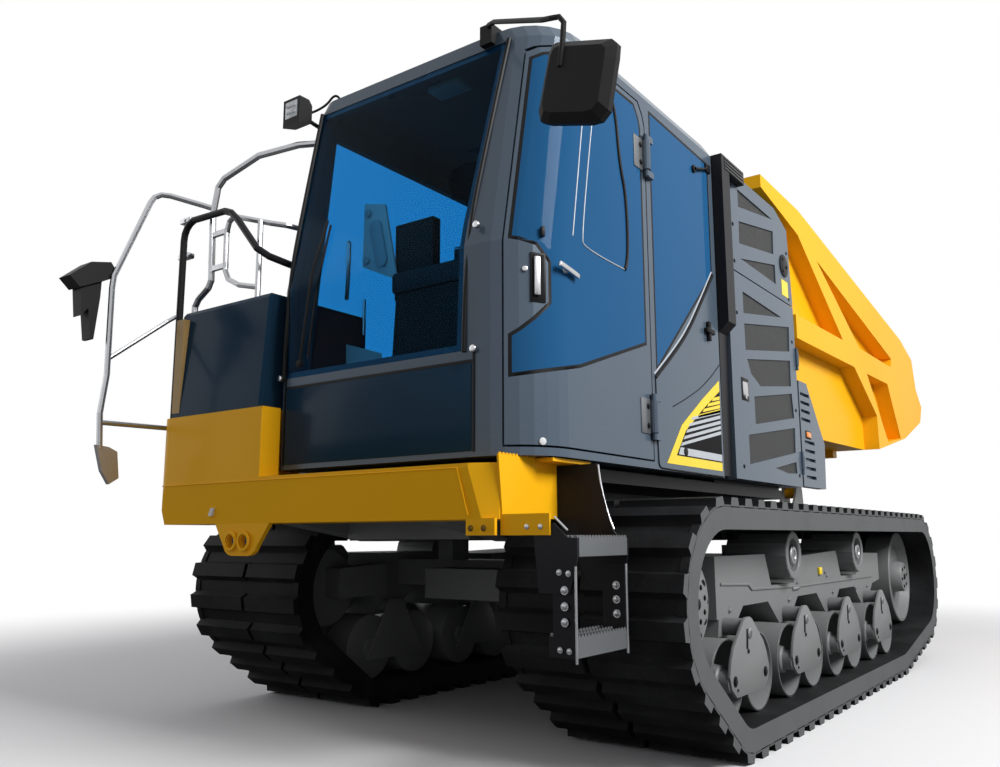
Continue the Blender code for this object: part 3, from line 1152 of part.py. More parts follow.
def build():
    """Make every piece and hang it on the machine, or on the joint that carries it."""
    clear_scene()
    machine = empty("machine", (0, -MIDDLE_Y, 0))
    door_axis = empty("cab_door_axis", (*DOOR_HINGE, DOOR_LOW_Z), machine)
    cover_axis = empty("cover_axis", (*COVER_HINGE, COVER_LOW_Z), machine)
    bed_axis = empty("bed_axis", (0, HINGE_Y, HINGE_Z), machine)
    keep(main_frame(), "main_frame", "undercarriage_paint", machine)
    keep(deck(), "deck", "black_paint", machine)
    keep(front_beam(), "front_beam", "yellow_paint", machine)
    keep(step_apron(), "step_apron", "yellow_paint", machine)
    keep(ladder(), "ladder", "black_paint", machine)
    keep(side_tank(), "side_tank", "grey_paint", machine)
    keep(front_locker(), "front_locker", "grey_paint", machine)
    keep(guard_rail(), "guard_rail", "black_paint", machine)
    keep(hand_rails(), "hand_rails", "steel_tube", machine)
    keep(mirror_stay(), "mirror_stay", "steel_tube", machine)
    keep(mirror_right(), "mirror_right", "black_plastic", machine)
    keep(mirror_left(), "mirror_left", "black_plastic", machine)
    keep(cab_shell(), "cab_shell", "grey_paint", machine)
    for name in ("quarter_glass", "right_glass", "windshield", "rear_glass"):
        keep(pane(name), name, "tinted_glass", machine)
    keep(seat(), "seat", "seat_cloth", machine)
    keep(console(), "console", "black_plastic", machine)
    keep(work_lamp(), "work_lamp", "black_plastic", machine)
    keep(engine_housing(), "engine_housing", "grey_paint", machine)
    keep(engine(), "engine", "undercarriage_paint", machine)
    keep(louvre_cover(), "louvre_cover", "grey_paint", machine)
    keep(air_duct(), "air_duct", "black_paint", machine)
    keep(exhaust(), "exhaust", "black_paint", machine)
    keep(cab_door(), "cab_door", "grey_paint", door_axis)
    keep(pane("door_glass"), "door_glass", "tinted_glass", door_axis)
    keep(engine_door(COVER_SPLIT_Z + 0.004, COVER_TOP_Z + 0.1, UPPER_WINDOWS), "upper_cover",
         "grey_paint", machine)
    keep(engine_door(COVER_LOW_Z + 0.002, COVER_SPLIT_Z - 0.004, LOWER_WINDOWS), "lower_cover",
         "grey_paint", cover_axis)
    keep(bed(), "bed", "yellow_paint", bed_axis)
    for side, word in ((1, "left"), (-1, "right")):
        keep(track(side), f"track_{word}", "rubber", machine)
        keep(track_frame(side), f"track_frame_{word}", "undercarriage_paint", machine)
        keep(sprocket(side), f"sprocket_{word}", "undercarriage_paint", machine)
        keep(idler(side), f"idler_{word}", "undercarriage_paint", machine)
        for number, y in enumerate(bogie_places(), 1):
            keep(bogie(y, side), f"bogie_{word}_{number}", "undercarriage_paint", machine)
        foot = empty(f"ram_foot_{word}", (side * RAM_X, *RAM_FOOT), machine)
        keep(ram_barrel(side), f"ram_barrel_{word}", "black_paint", foot)
        keep(ram_rod(side), f"ram_rod_{word}", "rod_chrome", foot)


build()
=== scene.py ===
# %% [markdown]
# A crawler carrier stands on a pale floor. It is a dump truck on two rubber tracks, with a cab
# at its left front corner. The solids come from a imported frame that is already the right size.
# This lesson dresses them: it gives each one its paint, rubber or glass, and adds the small
# things that the solids leave out. Units are metres, +Z is up, the machine drives towards -Y
# and its left side is +X.

# %% Load the frame
import math
import json

import bpy
import bmesh
from mathutils import Matrix, Vector


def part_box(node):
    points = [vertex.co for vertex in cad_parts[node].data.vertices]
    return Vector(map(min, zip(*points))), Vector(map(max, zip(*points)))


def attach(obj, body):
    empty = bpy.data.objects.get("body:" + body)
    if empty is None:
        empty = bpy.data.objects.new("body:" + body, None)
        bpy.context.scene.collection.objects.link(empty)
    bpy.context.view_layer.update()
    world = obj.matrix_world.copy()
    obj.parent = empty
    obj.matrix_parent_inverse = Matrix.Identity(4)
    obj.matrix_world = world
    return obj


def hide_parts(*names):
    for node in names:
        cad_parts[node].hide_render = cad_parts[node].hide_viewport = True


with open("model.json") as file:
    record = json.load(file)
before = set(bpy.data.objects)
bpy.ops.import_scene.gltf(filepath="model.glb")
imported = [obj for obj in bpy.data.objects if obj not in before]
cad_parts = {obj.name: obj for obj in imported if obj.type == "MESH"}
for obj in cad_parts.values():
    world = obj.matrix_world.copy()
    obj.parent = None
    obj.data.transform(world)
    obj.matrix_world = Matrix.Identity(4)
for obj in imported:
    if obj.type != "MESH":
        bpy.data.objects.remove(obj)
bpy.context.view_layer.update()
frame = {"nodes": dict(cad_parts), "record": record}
nodes = frame["nodes"]

# %% [markdown]
# The photograph was taken from a low place in front of the machine's left front corner. The
# numbers below come from fitting a camera to the straight edges of the cab, the tracks and the
# front beam. A small shift puts the view's middle where the photograph has it.

# %% Camera
CAMERA_PLACE = (2.694, -5.1825, 0.860)
YAW, PITCH, ROLL = 35.952, 9.433, -0.184
FOCAL_PIXELS = 876.4
IMAGE_WIDTH = 1000


def camera_turn(yaw, pitch, roll):
    """Return the camera's rotation from its heading, its tilt upwards and its lean."""
    a, e, r = (math.radians(v) for v in (yaw, pitch, roll))
    ahead = Vector((-math.sin(a) * math.cos(e), math.cos(a) * math.cos(e), math.sin(e)))
    right = Vector((math.cos(a), math.sin(a), 0.0))
    up = right.cross(ahead)
    right, up = right * math.cos(r) + up * math.sin(r), up * math.cos(r) - right * math.sin(r)
    return Matrix((right, up, -ahead)).transposed().to_4x4()


lens = bpy.data.cameras.new("camera")
lens.sensor_width = 36.0
lens.lens = FOCAL_PIXELS / IMAGE_WIDTH * lens.sensor_width
lens.shift_x, lens.shift_y = -0.0029, 0.0077
lens.clip_end = 200.0
camera = bpy.data.objects.new("camera", lens)
camera.matrix_world = Matrix.Translation(CAMERA_PLACE) @ camera_turn(YAW, PITCH, ROLL)
bpy.context.scene.collection.objects.link(camera)
bpy.context.scene.camera = camera
print("lens", round(lens.lens, 2), "mm")

# %% [markdown]
# Every finish below is a small web of nodes. Written out one by one, such webs are long and
# hard to read. So one class wraps a socket and turns +, - and * into Math nodes, and a helper
# adds any other node. A finish then reads like a formula.

# %% Shader maths


class Signal:
    """A number or a colour on its way through a material's nodes."""

    def __init__(self, paint, socket):
        self.paint = paint
        self.socket = socket

    def _math(self, operation, first, second):
        return self.paint.node("ShaderNodeMath", {"operation": operation}, {0: first, 1: second})

    def __add__(self, other):
        return self._math("ADD", self, other)

    def __radd__(self, other):
        return self._math("ADD", other, self)

    def __sub__(self, other):
        return self._math("SUBTRACT", self, other)

    def __mul__(self, other):
        return self._math("MULTIPLY", self, other)

    def over(self, limit):
        """Return 1 where the signal is above the limit, otherwise 0."""
        return self._math("GREATER_THAN", self, limit)


class Paint:
    """A material under construction: its nodes, its shader and its places in space."""

    def __init__(self, name):
        self.material = bpy.data.materials.new(name)
        self.material.use_nodes = True
        self.tree = self.material.node_tree
        self.shader = self.tree.nodes["Principled BSDF"]
        self.place = self.node("ShaderNodeTexCoord", {}, {}, "Object")

    def node(self, kind, settings, sockets, output=0):
        """Add a node, set it up, feed its sockets and return one of its outputs."""
        made = self.tree.nodes.new(kind)
        for key, value in settings.items():
            setattr(made, key, value)
        for key, value in sockets.items():
            self.feed(made.inputs[key], value)
        return Signal(self, made.outputs[output])

    def feed(self, socket, value):
        """Link a signal to a socket, or set the socket to a plain value."""
        if isinstance(value, Signal):
            self.tree.links.new(value.socket, socket)
        else:
            socket.default_value = value

    def noise(self, scale, detail=3.0, stretch=(1, 1, 1)):
        """Return a cloudy pattern from 0 to 1, with so many clouds to the metre."""
        place = self.node("ShaderNodeVectorMath", {"operation": "MULTIPLY"},
                          {0: self.place, 1: stretch}, "Vector")
        return self.node("ShaderNodeTexNoise", {}, {"Vector": place, "Scale": scale, "Detail": detail},
                         "Fac")

    def between(self, share, low, high):
        """Blend two colours by a share."""
        mixed = self.node("ShaderNodeMix", {"data_type": "RGBA"}, {"Factor": share}, 2)
        mix = mixed.socket.node
        self.feed(mix.inputs[6], low if isinstance(low, Signal) else (*low, 1.0))
        self.feed(mix.inputs[7], high if isinstance(high, Signal) else (*high, 1.0))
        return mixed

    def axis(self, letter):
        """Return one coordinate of the surface's place, in metres."""
        return self.node("ShaderNodeSeparateXYZ", {}, {"Vector": self.place}, "XYZ".index(letter))

    def bump(self, height, distance, strength=1.0):
        """Raise the surface by a height signal."""
        lift = self.node("ShaderNodeBump", {}, {"Height": height, "Distance": distance,
                                                "Strength": strength})
        self.feed(self.shader.inputs["Normal"], lift)

    def set(self, **values):
        """Set the shader's sockets, such as base_color or coat_weight."""
        for key, value in values.items():
            socket = self.shader.inputs[key.replace("_", " ").title().replace("Ior", "IOR")]
            if isinstance(value, tuple) and len(value) == 3:
                value = (*value, 1.0)
            self.feed(socket, value)


print("shader helpers ready")

# %% [markdown]
# The machine is nearly new, so its paint is clean. What tells paint from plastic is a clear
# coat over it, the faint orange-peel texture that spraying leaves, and tiny changes of colour
# that only show where the light grazes. The cab's grey has metal flakes in it, and its blue hue
# is partly painted light: the sky's blue on the paint is put into its colour.

# %% Paints


def sprayed(name, colour, shade, roughness, metallic, coat=0.12, gloss=0.2, peel=0.00006):
    """Make a clean sprayed paint with a clear coat."""
    paint = Paint(name)
    cloud = paint.noise(1.3, 4.0)
    fine = paint.noise(260.0, 2.0)
    paint.set(base_color=paint.between(cloud * 1.4 - 0.2, colour, shade),
              roughness=cloud * 0.08 + (roughness - 0.04), metallic=metallic,
              coat_weight=coat, coat_roughness=0.08, specular_ior_level=gloss)
    paint.bump(fine, peel)
    return paint.material


yellow = sprayed("machine_yellow", (0.90, 0.455, 0.009), (0.85, 0.42, 0.008), 0.36, 0.0, 0.03, 0.06)
# The cab grey's blue hue is partly painted light: the sky's blue on the paint.
grey = sprayed("cab_grey", (0.076, 0.105, 0.140), (0.066, 0.092, 0.124), 0.28, 0.12)
# Painted shade: a darker, bluer copy of the grey for the shaded front panel and locker.
front_shade_grey = sprayed("front_panel_painted_shade", (0.012, 0.038, 0.070), (0.010, 0.031, 0.058), 0.22, 0.0, 0.03,
                     0.04)
black = sprayed("frame_black", (0.010, 0.010, 0.012), (0.013, 0.013, 0.015), 0.42, 0.0, 0.05, 0.12)
dark_grey = sprayed("undercarriage_grey", (0.205, 0.213, 0.212), (0.165, 0.172, 0.172), 0.48, 0.05, 0.05,
                    0.2)
print("paints:", yellow.name, grey.name, black.name, dark_grey.name)

# %% [markdown]
# Rubber is matt and a little dusty. Dust gathers where the noise is high, and fine grain breaks
# up the highlights.

# %% Rubber, plastic and cloth


def dusty(name, colour, dust, roughness, grain, depth):
    """Make a matt surface with faint dust and a fine grain."""
    paint = Paint(name)
    cloud = paint.noise(5.0, 6.0)
    fine = paint.noise(grain, 3.0)
    share = (cloud - 0.45) * 2.2 * fine
    paint.set(base_color=paint.between(share, colour, dust), roughness=roughness + cloud * 0.1,
              specular_ior_level=0.12)
    paint.bump(fine, depth)
    return paint.material


rubber = dusty("plain_rubber", (0.010, 0.010, 0.011), (0.040, 0.040, 0.040), 0.72, 90.0, 0.0012)
plastic = dusty("black_plastic", (0.014, 0.014, 0.015), (0.020, 0.020, 0.021), 0.48, 420.0, 0.0002)
cloth = dusty("seat_cloth", (0.022, 0.022, 0.025), (0.050, 0.050, 0.055), 0.85, 700.0, 0.0006)
print("soft finishes ready")

# %% [markdown]
# The windows are tinted safety glass. The front and the back ones let the bright day behind the
# cab through in deep blue, so they are real glass with a blue tint: the light is tinted as it
# passes. The side windows look nearly solid: their tint and a painted reflection of the sky make
# one deep blue colour, with a faint coat, and only a small part of the view passes.

# %% Glass and metal


def see_through(name, tint):
    """Make thin tinted glass that colours the light that passes, and mirrors little."""
    paint = Paint(name)
    cloud = paint.noise(0.9, 2.0)
    paint.set(base_color=paint.between(cloud, tint, tuple(c * 0.94 for c in tint)), roughness=0.0,
              transmission_weight=1.0, ior=1.08)
    return paint.material


def glass_with_painted_sky(name, colour, shade, alpha):
    """Make deep blue glass whose colour holds its tint and a painted reflection of the sky, with a little
    of the view passing.
    """
    paint = Paint(name)
    cloud = paint.noise(0.8, 2.0, (0.3, 1.0, 0.4))
    paint.set(base_color=paint.between(cloud, colour, shade), alpha=alpha, roughness=0.05,
              coat_weight=0.01, coat_roughness=0.02, specular_ior_level=0.03)
    return paint.material


def bare_metal(name, colour, roughness, grain):
    """Make bare metal with fine lengthwise streaks."""
    paint = Paint(name)
    streak = paint.noise(grain, 2.0, (1.0, 1.0, 0.08))
    paint.set(base_color=paint.between(streak, colour, tuple(c * 0.8 for c in colour)),
              metallic=1.0, roughness=roughness + streak * 0.12)
    return paint.material


front_glass = see_through("front_glass", (0.22, 0.52, 0.74))
back_glass = see_through("back_glass", (0.035, 0.33, 0.66))
# The side glass's deep blue is its tint with a painted reflection of the sky.
side_glass = glass_with_painted_sky("side_glass", (0.010, 0.072, 0.175), (0.020, 0.105, 0.245), 0.96)
# Bare steel for rails and bolts, also used for painted highlights on bright edges.
steel_and_highlight = bare_metal("steel_and_painted_highlight", (0.50, 0.51, 0.53), 0.24, 160.0)
chrome = bare_metal("rod_chrome", (0.78, 0.78, 0.80), 0.08, 60.0)
print("glass and metal ready")

# %% Dress the solids
SLOTS = {
    "yellow_paint": yellow,
    "grey_paint": grey,
    "black_paint": black,
    "undercarriage_paint": dark_grey,
    "rubber": rubber,
    "tinted_glass": side_glass,
    "steel_tube": steel_and_highlight,
    "black_plastic": plastic,
    "seat_cloth": cloth,
    "rod_chrome": chrome,
}
for entry in frame["record"]["subparts"]:
    solid = nodes[entry["node"]]
    solid.data.materials.clear()
    solid.data.materials.append(SLOTS[entry["material_slot"]])
print("dressed", len(nodes), "solids")

# %% [markdown]
# Trim needs a few more finishes. Seals are soft black rubber, the lock and the knobs are plated,
# the mirror glass is a smooth metal, and the lamp lenses are clear or coloured plastic. The belts
# carry faint dust, and their outer side faces are painted paler than the tread: painted light
# that stands for the bright, sunlit side band.

# %% Trim finishes
BELT_EDGE_X = 1.389         # beyond this X a belt's surface is its outer side face


def plain(name, colour, roughness, metallic=0.0, coat=0.0, gloss=0.15):
    """Make an even finish for small trim, with faint clouding."""
    paint = Paint(name)
    cloud = paint.noise(9.0, 2.0)
    paint.set(base_color=paint.between(cloud, colour, tuple(c * 0.85 for c in colour)),
              roughness=roughness, metallic=metallic, coat_weight=coat, specular_ior_level=gloss)
    return paint.material


def belt_rubber_with_lit_sides(name, colour, dust_and_side_light_colour, roughness):
    """Make belt rubber with faint dust, whose outer side faces are painted paler as painted light."""
    paint = Paint(name)
    cloud = paint.noise(5.0, 6.0)
    fine = paint.noise(90.0, 3.0)
    out = paint.axis("X")
    reach = paint.node("ShaderNodeMath", {"operation": "ABSOLUTE"}, {0: out})
    # Painted light: the outer side faces are painted paler, as if lit by the sun.
    sides = reach.over(BELT_EDGE_X) * (0.75 + cloud * 0.5)
    dust = (cloud - 0.42) * fine * 0.8
    paint.set(base_color=paint.between(sides, paint.between(dust, colour, dust_and_side_light_colour), dust_and_side_light_colour),
              roughness=roughness + cloud * 0.1, specular_ior_level=0.12)
    paint.bump(fine, 0.0008)
    return paint.material


track_rubber = belt_rubber_with_lit_sides("belt_rubber", (0.0080, 0.0083, 0.0090), (0.105, 0.110, 0.111), 0.62)
seal = plain("seal_rubber", (0.006, 0.006, 0.007), 0.45)
plated = plain("plated_steel", (0.62, 0.62, 0.64), 0.25, 1.0)
mirror = plain("mirror_glass", (0.80, 0.82, 0.85), 0.03, 1.0)
orange = plain("orange_lens", (0.90, 0.26, 0.02), 0.2, 0.0, 0.8)
clear_lens = plain("clear_lens", (0.62, 0.66, 0.70), 0.12, 0.0, 0.9)
white = plain("white_plastic", (0.72, 0.74, 0.74), 0.4)
# Silver for films and trim, and for a painted highlight beside the rear panel's seam.
silver = plain("silver_film_and_highlight", (0.50, 0.53, 0.56), 0.35, 0.1)
mesh_grey = plain("mesh_grey", (0.085, 0.086, 0.086), 0.45, 0.2)
# Black for painted shade in hollows and behind the engine mesh, and for the printed ground of the stripe
# film.
shade_and_print_black = plain("shade_and_print_black", (0.004, 0.004, 0.005), 0.7)
interior = plain("interior_plastic", (0.030, 0.034, 0.040), 0.6)
tan_film = plain("tan_film", (0.42, 0.27, 0.10), 0.4)
bright_yellow = plain("yellow_film", (0.90, 0.66, 0.02), 0.35, 0.0, 0.3)
leaf_grey = plain("leaf_grey", (0.20, 0.21, 0.22), 0.35, 0.6)
step_grey = plain("step_grey", (0.17, 0.18, 0.185), 0.4, 0.3)
# Brown for the shaded insides of holes: painted shade.
hole_painted_shade = plain("hole_painted_shade", (0.16, 0.085, 0.01), 0.5)
print("trim finishes ready")

# %% [markdown]
# The solids leave out what is small: bolts, seals, tread, mesh, stripes and trim. All of these
# are made from a few kinds of form, such as a plate cut to an outline, a block, a turned
# piece, a bent bar or a row of bolts. So one class starts from a bmesh operator for each of
# them. Places are measured as in the part's source: along Y from the middle of the road
# rollers, which the frame tells. The mesh is moved to its real place when the piece is done.

# %% Modelling tools
middle_y = sum(sum(corner[1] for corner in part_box(f"bogie_left_{n}")) / 2 for n in (1, 4)) / 2
PLANES = {"X": lambda a, b, c: (c, a, b), "Y": lambda a, b, c: (a, c, b),
          "Z": lambda a, b, c: (a, b, c)}
SIDES = (("left", False), ("right", True))     # a side's name, and whether it is mirrored
TURNS = {"X": Matrix.Rotation(math.pi / 2, 4, "Y"), "Y": Matrix.Rotation(math.pi / 2, 4, "X"),
         "Z": Matrix.Identity(4)}


def to_object(bm, name, paints, angle=None):
    """Make a painted object of a finished bmesh, shaded smooth up to an angle if one is given."""
    data = bpy.data.meshes.new(name)
    bm.to_mesh(data)
    bm.free()
    if angle is not None:
        data.shade_smooth()
        data.set_sharp_from_angle(angle=math.radians(angle))
    for paint in paints:
        data.materials.append(paint)
    made = bpy.data.objects.new(name, data)
    bpy.context.scene.collection.objects.link(made)
    return made


class Shape:
    """One piece under construction, made of closed forms that touch or pass into each other."""

    def __init__(self):
        self.bm = bmesh.new()

    def soften(self, verts, bevel, segments=2):
        """Round the edges of the form that was just added."""
        if bevel:
            edges = list({edge for vert in verts for edge in vert.link_edges
                          if len(edge.link_faces) == 2 and edge.calc_face_angle() > 0.5})
            bmesh.ops.bevel(self.bm, geom=edges, offset=bevel, segments=segments, profile=0.5,
                            affect="EDGES", material=-1)

    def plate(self, outline, axis, low, high, bevel=0.0):
        """Add a plate cut to an outline. X takes (Y, Z), Y takes (X, Z), Z takes (X, Y)."""
        verts = [self.bm.verts.new(PLANES[axis](a, b, low)) for a, b in outline]
        face = self.bm.faces.new(verts)
        grown = bmesh.ops.extrude_face_region(self.bm, geom=[face])["geom"]
        moved = [part for part in grown if isinstance(part, bmesh.types.BMVert)]
        bmesh.ops.translate(self.bm, verts=moved, vec=PLANES[axis](0, 0, high - low))
        self.soften(verts + moved, bevel)
        return self

    def block(self, x, y, z, bevel=0.0, turn=None):
        """Add a box from three (low, high) pairs, turned about its own middle."""
        sizes = [high - low for low, high in (x, y, z)]
        middle = [(high + low) / 2 for low, high in (x, y, z)]
        place = Matrix.Translation(middle) @ (turn or Matrix.Identity(4)) @ Matrix.Diagonal((*sizes, 1))
        made = bmesh.ops.create_cube(self.bm, size=1.0, matrix=place)["verts"]
        self.soften(made, bevel)
        return self

    def disc(self, axis, along, centre, radius, sides=24, far_radius=None, bevel=0.0):
        """Add a cylinder or a cone between two places along an axis."""
        middle = Vector(centre)
        middle["XYZ".index(axis)] = (along[0] + along[1]) / 2
        turn = TURNS[axis]
        first, last = radius, radius if far_radius is None else far_radius
        if axis == "Y":
            first, last = last, first
        made = bmesh.ops.create_cone(self.bm, cap_ends=True, segments=sides, radius1=first, radius2=last,
                                     depth=along[1] - along[0], matrix=Matrix.Translation(middle) @ turn)
        self.soften(made["verts"], bevel)
        return self

    def turned(self, profile, centre, axis="X", sides=32):
        """Spin a profile of (distance along the axis, radius) round the axis."""
        ends = [self.bm.verts.new(Vector(centre) + Vector(PLANES[axis](0, radius, along)))
                for along, radius in profile]
        edges = [self.bm.edges.new(pair) for pair in zip(ends, ends[1:])]
        bmesh.ops.spin(self.bm, geom=ends + edges, cent=centre, axis=PLANES[axis](0, 0, 1),
                       angle=math.tau, steps=sides, use_merge=True)
        return self

    def bolts(self, axis, face, places, radius=0.011, height=0.007, ring=True):
        """Add hexagon heads on their washers. They stand out from the face by the height's sign."""
        for a, b in places:
            centre = Vector(PLANES[axis](a, b, 0))
            low, high = sorted((face, face + height))
            self.disc(axis, (low, high), centre, radius, 6, bevel=radius * 0.12)
            if ring:
                low, high = sorted((face, face + height * 0.3))
                self.disc(axis, (low, high), centre, radius * 1.45, 14)
        return self

    def bar(self, route, radius, sides=12):
        """Add a round bar that runs smoothly through the points of a route."""
        curve = bpy.data.curves.new("route", "CURVE")
        curve.dimensions = "3D"
        curve.bevel_depth = radius
        curve.bevel_resolution = sides // 4
        curve.use_fill_caps = True
        line = curve.splines.new("NURBS")
        line.points.add(len(route) - 1)
        for point, place in zip(line.points, route):
            point.co = (*place, 1.0)
        line.use_endpoint_u = True
        line.order_u = 3
        holder = bpy.data.objects.new("route", curve)
        self.bm.from_mesh(holder.to_mesh())
        holder.to_mesh_clear()
        bpy.data.objects.remove(holder)
        return self

    def done(self, name, paint, body="machine", stands_for=(), finish_slot=None, mirror=False, angle=32):
        """Close the mesh, move it to its place, paint it and hang it on a moving body."""
        bmesh.ops.remove_doubles(self.bm, verts=self.bm.verts, dist=1e-5)
        if mirror:
            bmesh.ops.scale(self.bm, verts=self.bm.verts, vec=(-1, 1, 1))
        bmesh.ops.translate(self.bm, verts=self.bm.verts, vec=(0, middle_y, 0))
        bmesh.ops.recalc_face_normals(self.bm, faces=self.bm.faces)
        piece = to_object(self.bm, name, [paint], angle)
        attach(piece, body)
        if stands_for:
            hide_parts(*stands_for)
        return piece


def around(centre, radius, count, first=0.0):
    """List evenly spaced points on a circle."""
    return [(centre[0] + radius * math.cos(first + math.tau * i / count),
             centre[1] + radius * math.sin(first + math.tau * i / count)) for i in range(count)]


def inset(outline, margin):
    """Draw an outline in towards its middle by about a margin."""
    middle = [sum(point[i] for point in outline) / len(outline) for i in (0, 1)]
    drawn = []
    for a, b in outline:
        reach = math.hypot(a - middle[0], b - middle[1])
        share = (reach - margin * 1.3) / reach
        drawn.append((middle[0] + (a - middle[0]) * share, middle[1] + (b - middle[1]) * share))
    return drawn


print("rollers' middle at", round(middle_y, 4))

# %% [markdown]
# A rubber belt is a thick band with bars moulded across it. Each bar is two halves with a
# narrow slot between them, and the hollow between two bars ends round at the band's edge. The
# band is a ring drawn from the four circles that the belt runs on, then pulled out sideways.
# Each half bar starts from one tapered outline, pulled out, turned and set on the band.

# %% Rubber tracks
GROUND_GRIP = 0.035         # height of the bars
BAND = 0.0895               # thickness of the band under them
TRACK_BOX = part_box("track_left")
TRACK_IN, TRACK_OUT = TRACK_BOX[0][0], TRACK_BOX[1][0]
TRACK_MIDDLE = (TRACK_IN + TRACK_OUT) / 2
# The circles that carry the belt, as Y, Z and the radius to the tips of the bars
ROUND = [(-1.525, 0.60, 0.41), (-1.314, 0.2895, 0.2895), (1.314, 0.2895, 0.2895), (2.10, 0.57, 0.44)]


def belt_line():
    """Return the belt's line at the bars' roots, as a list of arcs and runs."""
    legs = []
    for i, (y, z, r) in enumerate(ROUND):
        y2, z2, r2 = ROUND[(i + 1) % 4]
        gap = math.hypot(y2 - y, z2 - z)
        legs.append((math.atan2(z2 - z, y2 - y) - math.acos((r - r2) / gap), gap))
    line = []
    for i, (y, z, r) in enumerate(ROUND):
        start, end = legs[i - 1][0], legs[i][0]
        while end < start:
            end += math.tau
        core = r - GROUND_GRIP
        line.append(("arc", y, z, core, start, end, core * (end - start)))
        y2, z2, r2 = ROUND[(i + 1) % 4]
        run = math.sqrt(legs[i][1] ** 2 - (r2 - r) ** 2)
        line.append(("run", y, z, core, legs[i][0], legs[i][0], run))
    return line


def belt_place(line, distance, height):
    """Return Y, Z and the outward direction at a distance along the belt."""
    for kind, y, z, r, start, end, length in line:
        if distance <= length:
            turn = start + (end - start) * distance / length
            ahead = distance if kind == "run" else 0.0
            reach = r + height
            return (y + reach * math.cos(turn) - ahead * math.sin(turn),
                    z + reach * math.sin(turn) + ahead * math.cos(turn), turn)
        distance -= length
    return belt_place(line, distance, height)


BELT = belt_line()
BELT_LENGTH = sum(leg[-1] for leg in BELT)
BARS = round(BELT_LENGTH / 0.150)
BAR_PITCH = BELT_LENGTH / BARS
LUG_MIDDLE = 0.31           # where a bar's middle lies, as a share of the pitch
SLOT_X = TRACK_IN + 0.47 * (TRACK_OUT - TRACK_IN)
SLOT_HALF = 0.012           # half the width of the slot between a bar's halves
SWELL_REACH = 0.035         # how far a swell between the bars reaches in from the edge
GUIDE_HALF = 0.045          # half the width of a guide lug


def both_sides(side):
    """Draw an outline that is the same on both sides of 0, from one side of it."""
    return [(-a, b) for a, b in side] + [(a, b) for a, b in reversed(side)]


# Outlines on the belt: how far along it, how high over the band
BAR = both_sides([(0.049, -0.004), (0.041, 0.007), (0.036, 0.022), (0.033, GROUND_GRIP)])
SWELL = both_sides([(0.033, -0.002), (0.030, 0.0035), (0.020, 0.0055)])
GUIDE = [(0.04, 0.002), (-0.04, 0.002), (-0.022, -0.045), (0.022, -0.045)]


def belt_plate(shape, outline, low, high, distance, height=0.0):
    """Add a plate in the belt's own plane, then turn and move it to its place on the belt."""
    first = len(shape.bm.verts)
    shape.plate(outline, "X", low, high)
    y, z, turn = belt_place(BELT, distance, height)
    shape.bm.verts.ensure_lookup_table()
    new = shape.bm.verts[first:]
    bmesh.ops.rotate(shape.bm, verts=new, cent=(0, 0, 0),
                     matrix=Matrix.Rotation(turn - math.pi / 2, 3, "X"))
    bmesh.ops.translate(shape.bm, verts=new, vec=(0, y, z))


def belt(side_name, mirrored):
    """Make one belt: the band, the bars outside and the guide lugs inside."""
    shape = Shape()
    steps = BARS * 3
    rings = []
    for height in (0.0, -BAND):
        places = [belt_place(BELT, i * BELT_LENGTH / steps, height)[:2] for i in range(steps)]
        ring = [shape.bm.verts.new((TRACK_IN, y, z)) for y, z in places]
        rings += [shape.bm.edges.new((ring[i - 1], ring[i])) for i in range(steps)]
    side_face = bmesh.ops.bridge_loops(shape.bm, edges=rings)["faces"]
    grown = bmesh.ops.extrude_face_region(shape.bm, geom=side_face)["geom"]
    moved = [part for part in grown if isinstance(part, bmesh.types.BMVert)]
    bmesh.ops.translate(shape.bm, verts=moved, vec=(TRACK_OUT - TRACK_IN, 0, 0))
    for i in range(BARS):
        distance = (i + LUG_MIDDLE) * BAR_PITCH
        for low, high in ((TRACK_IN, SLOT_X - SLOT_HALF), (SLOT_X + SLOT_HALF, TRACK_OUT)):
            belt_plate(shape, BAR, low, high, distance)
        # The band swells between the bars near its edges, so that each hollow ends round
        for low, high in ((TRACK_IN, TRACK_IN + SWELL_REACH), (TRACK_OUT - SWELL_REACH, TRACK_OUT)):
            belt_plate(shape, SWELL, low, high, distance + BAR_PITCH / 2)
        y, z, turn = belt_place(BELT, distance, -BAND)
        # Guide lugs only where the belt runs straight, clear of the end wheels
        if abs(math.sin(turn)) > 0.97 and -1.3 < y < 1.6:
            belt_plate(shape, GUIDE, TRACK_MIDDLE - GUIDE_HALF, TRACK_MIDDLE + GUIDE_HALF, distance, -BAND)
    return shape.done(f"belt_{side_name}", track_rubber, stands_for=[f"track_{side_name}"],
                      finish_slot="rubber", mirror=mirrored, angle=40)


for side_name, mirrored in SIDES:
    made = belt(side_name, mirrored)
    print(made.name, len(made.data.polygons), "faces,", BARS, "bars")

# %% [markdown]
# Each window is glued on from outside, and a black border is printed on its glass to hide the
# glue. The solid pane already has the right curve, so a copy of it is used: its outer skin is
# found by growing from its largest face over gentle edges, then one inset makes the border.

# %% Windows with printed borders
PRINT_WIDTH = 0.014
PANE_EDGE = 28              # edges sharper than this many degrees stay sharp on a pane


